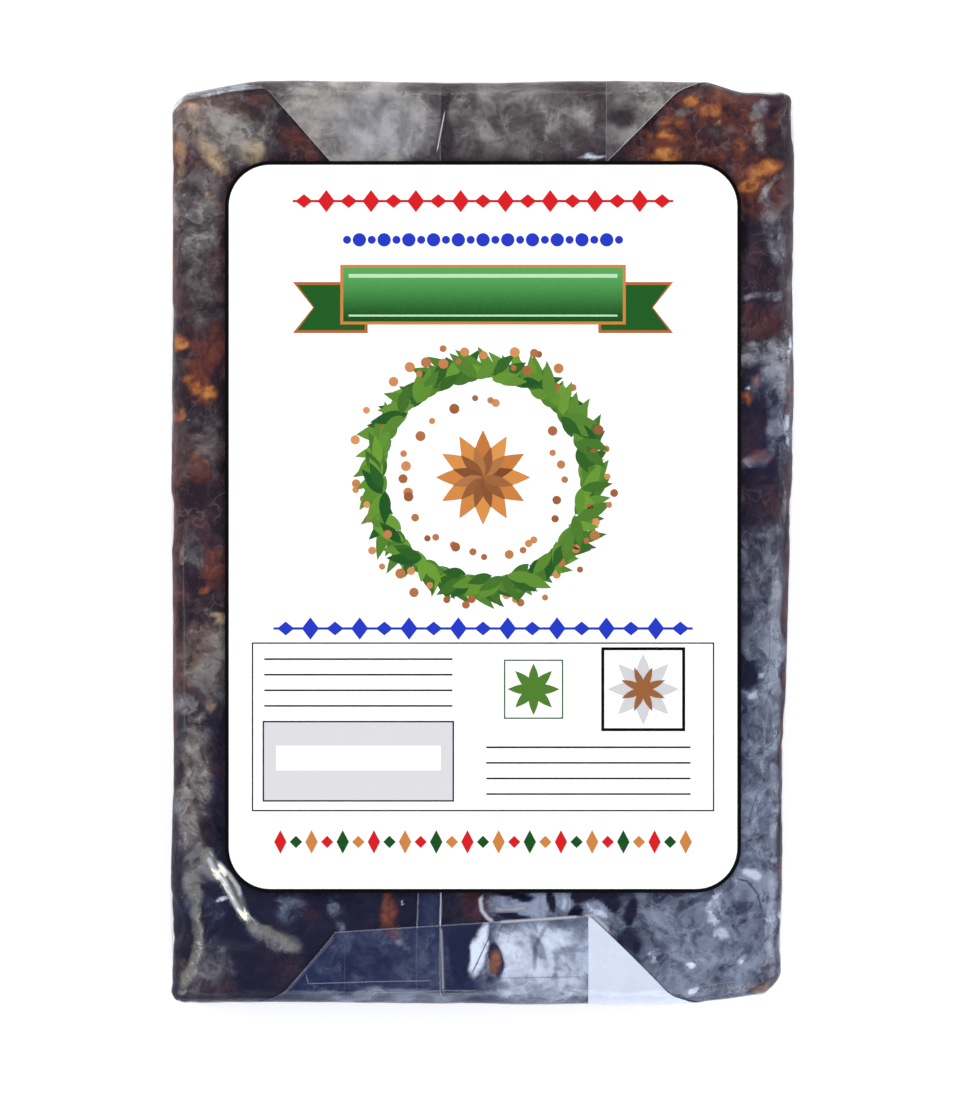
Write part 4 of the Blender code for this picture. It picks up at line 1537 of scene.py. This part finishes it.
@dataclass
class LabelPrint:
    """A generic print: borders and rules, a blank ribbon, a wreath of leaves and a blank form."""

    label: PaperLabel
    base: float
    shapes: dict[str, list[tuple[list[Point2], float]]] = field(default_factory=dict)

    def add(self, ink: str, outline: Iterable[Point2], tone: float = 0.5) -> None:
        """Adds a shape to an ink.

        Args:
            ink: the ink's name.
            outline: the shape, counter-clockwise, in millimetres round the label's middle.
            tone: how far from the ink's own colour it is, 0.5 for none.
        """
        middle = self.label.middle
        points = [(x * MM + middle.x, y * MM + middle.y) for x, y in outline]
        self.shapes.setdefault(ink, []).append((points, tone))

    def bar(self, ink: str, x: float, y: float, width: float, height: float, tone: float = 0.5) -> None:
        """A plain rectangle round a place."""
        w, h = width / 2, height / 2
        self.add(ink, ((x - w, y - h), (x + w, y - h), (x + w, y + h), (x - w, y + h)), tone)

    def frame(
        self, ink: str, x: float, y: float, width: float, height: float, line: float, radius: float = 0.0
    ) -> None:
        """A rectangle's outline, with round corners if it has a radius.

        Args:
            ink: the ink's name.
            x: its middle's x.
            y: its middle's y.
            width: its outer width.
            height: its outer height.
            line: the line's width.
            radius: its outer corner radius.
        """
        outer = self.label.outline(0.0, width, height, radius)
        inner = self.label.outline(line, width, height, radius)
        count = len(outer)
        for i in range(count):
            ring = (outer[i], outer[(i + 1) % count], inner[(i + 1) % count], inner[i])
            if (Vector(ring[0]) - Vector(ring[1])).length > 1e-6:
                self.add(ink, [(x + px, y + py) for px, py in ring])

    def diamond(self, ink: str, x: float, y: float, width: float, height: float) -> None:
        """A lozenge round a place."""
        w, h = width / 2, height / 2
        self.add(ink, ((x + w, y), (x, y + h), (x - w, y), (x, y - h)))

    def disc(self, ink: str, x: float, y: float, radius: float, tone: float = 0.5) -> None:
        """A round dot."""
        turns = [2 * math.pi * i / DISC_POINTS for i in range(DISC_POINTS)]
        self.add(ink, [(x + radius * math.cos(a), y + radius * math.sin(a)) for a in turns], tone)

    def leaf(
        self, ink: str, x: float, y: float, length: float, width: float, turn: float, tone: float = 0.5
    ) -> None:
        """A pointed leaf or petal that starts at a place.

        Args:
            ink: the ink's name.
            x: its foot's x.
            y: its foot's y.
            length: its length.
            width: its width.
            turn: the way it points, in degrees.
            tone: as for add.
        """
        angle = math.radians(turn)
        shares = [i / LEAF_STEPS for i in range(LEAF_STEPS + 1)]
        lower = [(length * s, -width / 2 * math.sin(math.pi * s**0.8)) for s in shares]
        upper = [(px, -py) for px, py in lower[-2:0:-1]]
        cos, sin = math.cos(angle), math.sin(angle)
        self.add(ink, [(x + px * cos - py * sin, y + px * sin + py * cos) for px, py in lower + upper], tone)

    def draw_borders(self) -> None:
        """The black border, and the rules with lozenges and dots."""
        size = self.label.size / MM
        self.frame("black_ink", 0.0, 0.0, size.x, size.y, 0.70, self.label.radius / MM)
        for ink, y, reach in (("red_ink", 60.6, 35.4), ("blue_ink", -18.9, 39.0)):
            self.bar(ink, 0.0, y, 2 * reach, 0.45)
            for i in range(-8, 9):
                self.diamond(ink, i * reach / 8.5, y, 3.2, 4.2 if i % 2 else 2.6)
        for i in range(-11, 12):
            self.disc("blue_ink", i * 2.3, 53.4, 0.75 if i % 2 else 1.25)

    def draw_ribbon(self) -> None:
        """A blank green ribbon with forked ends and an orange outline."""
        middle = 43.2
        for ink, grow in (("orange_ink", 0.55), ("green_ink", 0.0)):
            w, h = 26.0 + grow, 5.0 + grow
            for side in (1.0, -1.0):
                tail = [(side * (22.0 - grow), -6.6 - grow), (side * (34.5 + grow * 1.6), -6.6 - grow)]
                tail += [(side * (31.4 + grow * 0.4), -2.4), (side * (34.5 + grow * 1.6), 1.8 + grow)]
                tail += [(side * (22.0 - grow), 1.8 + grow)]
                shape = tail if side > 0 else tail[::-1]
                self.add(f"{ink}_tails", [(x, y + middle) for x, y in shape], 0.6)
            self.add(ink, [(-w, middle - h), (w, middle - h), (w, middle + h), (-w, middle + h)])
        self.bar("pale_green_ink", 0.0, middle + 3.5, 50.0, 0.7, 0.9)
        self.bar("pale_green_ink", 0.0, middle - 3.9, 50.0, 0.35, 0.9)

    def draw_wreath(self) -> None:
        """A full round wreath of leaflets with berries, and a star flower in it."""
        draw = random.Random(7)
        count, ring, middle = 46, 18.6, 9.2
        rows = ((36, 7.2, 2.4), (144, 6.2, 2.2), (14, 6.0, 2.2), (166, 5.0, 2.0), (64, 5.6, 1.9))
        for i in range(count):
            angle = 360.0 * i / count
            for lean, reach, width in rows:
                spot = math.radians(angle + draw.uniform(-2.0, 2.0))
                out = ring * draw.uniform(0.97, 1.05)
                x, y = out * math.cos(spot), out * math.sin(spot) + middle
                turn = angle + 90 - lean + draw.uniform(-9.0, 9.0)
                length = reach * draw.uniform(0.85, 1.15)
                self.leaf("green_leaf_ink", x, y, length, width, turn, draw.random())
            for out in (14.6, 21.8, 24.2):
                if draw.random() < 0.62:
                    spot = math.radians(angle + draw.uniform(-4.0, 4.0))
                    out += draw.uniform(-1.2, 1.0)
                    x, y = out * math.cos(spot), out * math.sin(spot) + middle
                    self.disc("berry_ink", x, y, draw.uniform(0.55, 0.95), draw.random())
        for i in range(12):
            self.leaf("orange_ink", 0.0, middle, 8.8, 3.4, 30.0 * i, draw.random())
            self.leaf("brown_ink", 0.0, middle, 5.8, 2.0, 30.0 * i + 15.0, draw.random())
        self.disc("green_ink", 0.0, middle, 1.9)

    def draw_form(self) -> None:
        """A framed form: a grey panel with a blank strip, ruled lines, and two small tiles of pattern."""
        self.frame("black_ink", 0.0, -37.2, 86.0, 31.4, 0.24)
        self.bar("grey_ink", -23.2, -43.6, 35.2, 14.6)
        self.frame("black_ink", -23.2, -43.6, 35.6, 15.0, 0.26)
        self.bar("white_ink", -23.2, -43.0, 30.6, 4.6)
        for i in range(4):
            self.bar("black_ink", -23.2, -24.6 - 2.9 * i, 35.0, 0.3)
            self.bar("black_ink", 19.6, -41.0 - 2.9 * i, 38.0, 0.3)
        self.frame("black_ink", 29.8, -30.2, 15.6, 15.6, 0.55)
        self.frame("green_ink", 9.4, -30.2, 11.0, 11.0, 0.22)
        for i in range(8):
            self.leaf("grey_ink", 29.8, -30.2, 6.6, 2.6, 45.0 * i, 0.1)
            self.leaf("brown_ink", 29.8, -30.2, 4.4, 1.3, 45.0 * i + 22.5)
            self.leaf("green_leaf_ink", 9.4, -30.2, 4.8, 1.8, 45.0 * i, 0.5)
        for i in range(-13, 14):
            ink = ("green_ink", "orange_ink", "red_ink")[i % 3]
            self.diamond(ink, i * 2.9, -58.6, 2.3, 4.4 if i % 2 else 2.3)

    def build(self) -> None:
        """Draws the print, and makes one piece of each ink."""
        self.draw_borders()
        self.draw_ribbon()
        self.draw_wreath()
        self.draw_form()
        ribbon = (self.label.middle.y / MM + 38.2, self.label.middle.y / MM + 48.2)
        finishes = {
            "black_ink": ((0.001, 0.001, 0.001), (0.003, 0.003, 0.003), 0),
            "red_ink": ((0.60, 0.012, 0.016), (0.50, 0.010, 0.012), 0),
            "blue_ink": ((0.016, 0.040, 0.48), (0.014, 0.030, 0.40), 0),
            "orange_ink_tails": ((0.42, 0.14, 0.035), (0.34, 0.10, 0.03), 0),
            "green_ink_tails": ((0.020, 0.13, 0.020), (0.006, 0.06, 0.010), 1),
            "orange_ink": ((0.60, 0.25, 0.06), (0.42, 0.13, 0.03), 2),
            "green_ink": ((0.004, 0.055, 0.007), (0.085, 0.33, 0.085), 3),
            "pale_green_ink": ((0.12, 0.36, 0.12), (0.45, 0.66, 0.45), 4),
            "green_leaf_ink": ((0.12, 0.27, 0.030), (0.012, 0.075, 0.014), 0),
            "berry_ink": ((0.58, 0.25, 0.085), (0.26, 0.085, 0.03), 1),
            "brown_ink": ((0.36, 0.15, 0.05), (0.16, 0.05, 0.02), 4),
            "grey_ink": ((0.52, 0.52, 0.53), (0.64, 0.64, 0.65), 0),
            "white_ink": ((0.93, 0.93, 0.93), (0.90, 0.90, 0.90), 1),
        }
        for name, (colour, shade, level) in finishes.items():
            finish = InkFinish(name, colour, shade, ribbon, 0.9 if name == "green_ink" else 0.0).build()
            base = self.base + (0.004 + 0.010 * level) * MM
            self.label.plate(f"print_{name}", self.shapes[name], base, self.label.ink, finish)


@dataclass
class Studio:
    """A pale floor, soft lights, and the camera of the photograph."""

    pixel: float = 0.186 * MM
    picture: tuple[int, int] = (960, 1111)
    brick_middle: Point2 = (482.5, 543.0)
    distance: float = 2.4
    floor_size: float = 6.0

    def build_floor(self) -> None:
        """The plain pale floor, which isn't part of the brick."""
        grid = bmesh.new()
        bmesh.ops.create_grid(grid, x_segments=8, y_segments=8, size=self.floor_size / 2)
        mesh = bpy.data.meshes.new("floor")
        grid.to_mesh(mesh)
        grid.free()
        graph = Graph.of_material("pale_floor")
        cloud = graph.noise(graph.millimetres(), 60.0, 3.0)
        colour = graph.mix(cloud * 0.1, (0.90, 0.90, 0.90), (0.86, 0.86, 0.87))
        glow = (1.0, 1.0, 1.0, 1.0)
        material = graph.finish(
            Base_Color=colour, Roughness=0.8, Emission_Color=glow, Emission_Strength=0.34
        )
        floor = new_piece("floor", mesh, [material])
        floor.location.z = -0.05 * MM

    def add_light(self, name: str, place: Colour, size: Point2, power: float, colour: Colour) -> None:
        """A soft rectangular lamp that faces the brick.

        Args:
            name: the lamp's name.
            place: where it stands.
            size: its width and height.
            power: its power in watts.
            colour: its colour.
        """
        lamp = bpy.data.lights.new(name, "AREA")
        lamp.shape = "RECTANGLE"
        lamp.size, lamp.size_y = size
        lamp.energy = power
        lamp.color = colour
        item = bpy.data.objects.new(name, lamp)
        item.location = place
        item.rotation_euler = (-Vector(place)).to_track_quat("-Z", "Y").to_euler()
        bpy.context.scene.collection.objects.link(item)

    def build_lights(self) -> None:
        """Large lamps from the sides, and a room that is dim overhead and bright low down."""
        self.add_light("key", (-1.15, 0.80, 1.0), (1.1, 1.1), 19.0, (1.0, 0.965, 0.92))
        self.add_light("fill", (1.30, -0.25, 0.95), (0.9, 1.5), 17.0, (0.93, 0.96, 1.0))
        self.add_light("back", (0.25, 1.35, 1.0), (1.4, 0.7), 7.0, (1.0, 0.99, 0.98))
        self.add_light("front", (-0.15, -1.40, 1.0), (1.6, 0.8), 11.0, (0.97, 0.98, 1.0))
        room = Graph(bpy.data.worlds.new("room"))
        height = room.add("ShaderNodeSeparateXYZ", {}, {0: room.add("ShaderNodeTexCoord")}, out=2)
        light = room.mix(height.rise(0.05, 0.85), (1.15, 1.15, 1.16), (0.14, 0.14, 0.19))
        background = room.add("ShaderNodeBackground", {}, {"Color": light, "Strength": 1.0})
        room.add("ShaderNodeOutputWorld", {}, {"Surface": background})
        bpy.context.scene.world = room.owner

    def build_camera(self) -> None:
        """The camera straight over the brick, framed as the photograph is."""
        width, height = self.picture
        camera = bpy.data.cameras.new("camera")
        camera.sensor_fit = "HORIZONTAL" if width > height else "VERTICAL"
        view = height * self.pixel
        camera.sensor_height = 24.0
        camera.lens = camera.sensor_height * self.distance / view
        item = bpy.data.objects.new("camera", camera)
        across = (width / 2 - self.brick_middle[0]) * self.pixel
        up = (self.brick_middle[1] - height / 2) * self.pixel
        item.location = (across, up, self.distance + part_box("film_wrap")[1].z)
        bpy.context.scene.collection.objects.link(item)
        bpy.context.scene.camera = item

    def build(self) -> None:
        """Sets the studio up."""
        bpy.context.scene.view_settings.view_transform = "Standard"
        self.build_floor()
        self.build_lights()
        self.build_camera()


def main() -> None:
    """Builds the studio and the brick; each piece's face count is logged."""
    logging.basicConfig(level=logging.INFO, format="%(name)s: %(message)s")
    Studio().build()
    form = BrickForm()
    PulpBlock(form).build()
    FilmWrap(form).build()
    PaperLabel(form).build()


if __name__ == "__main__":
    main()
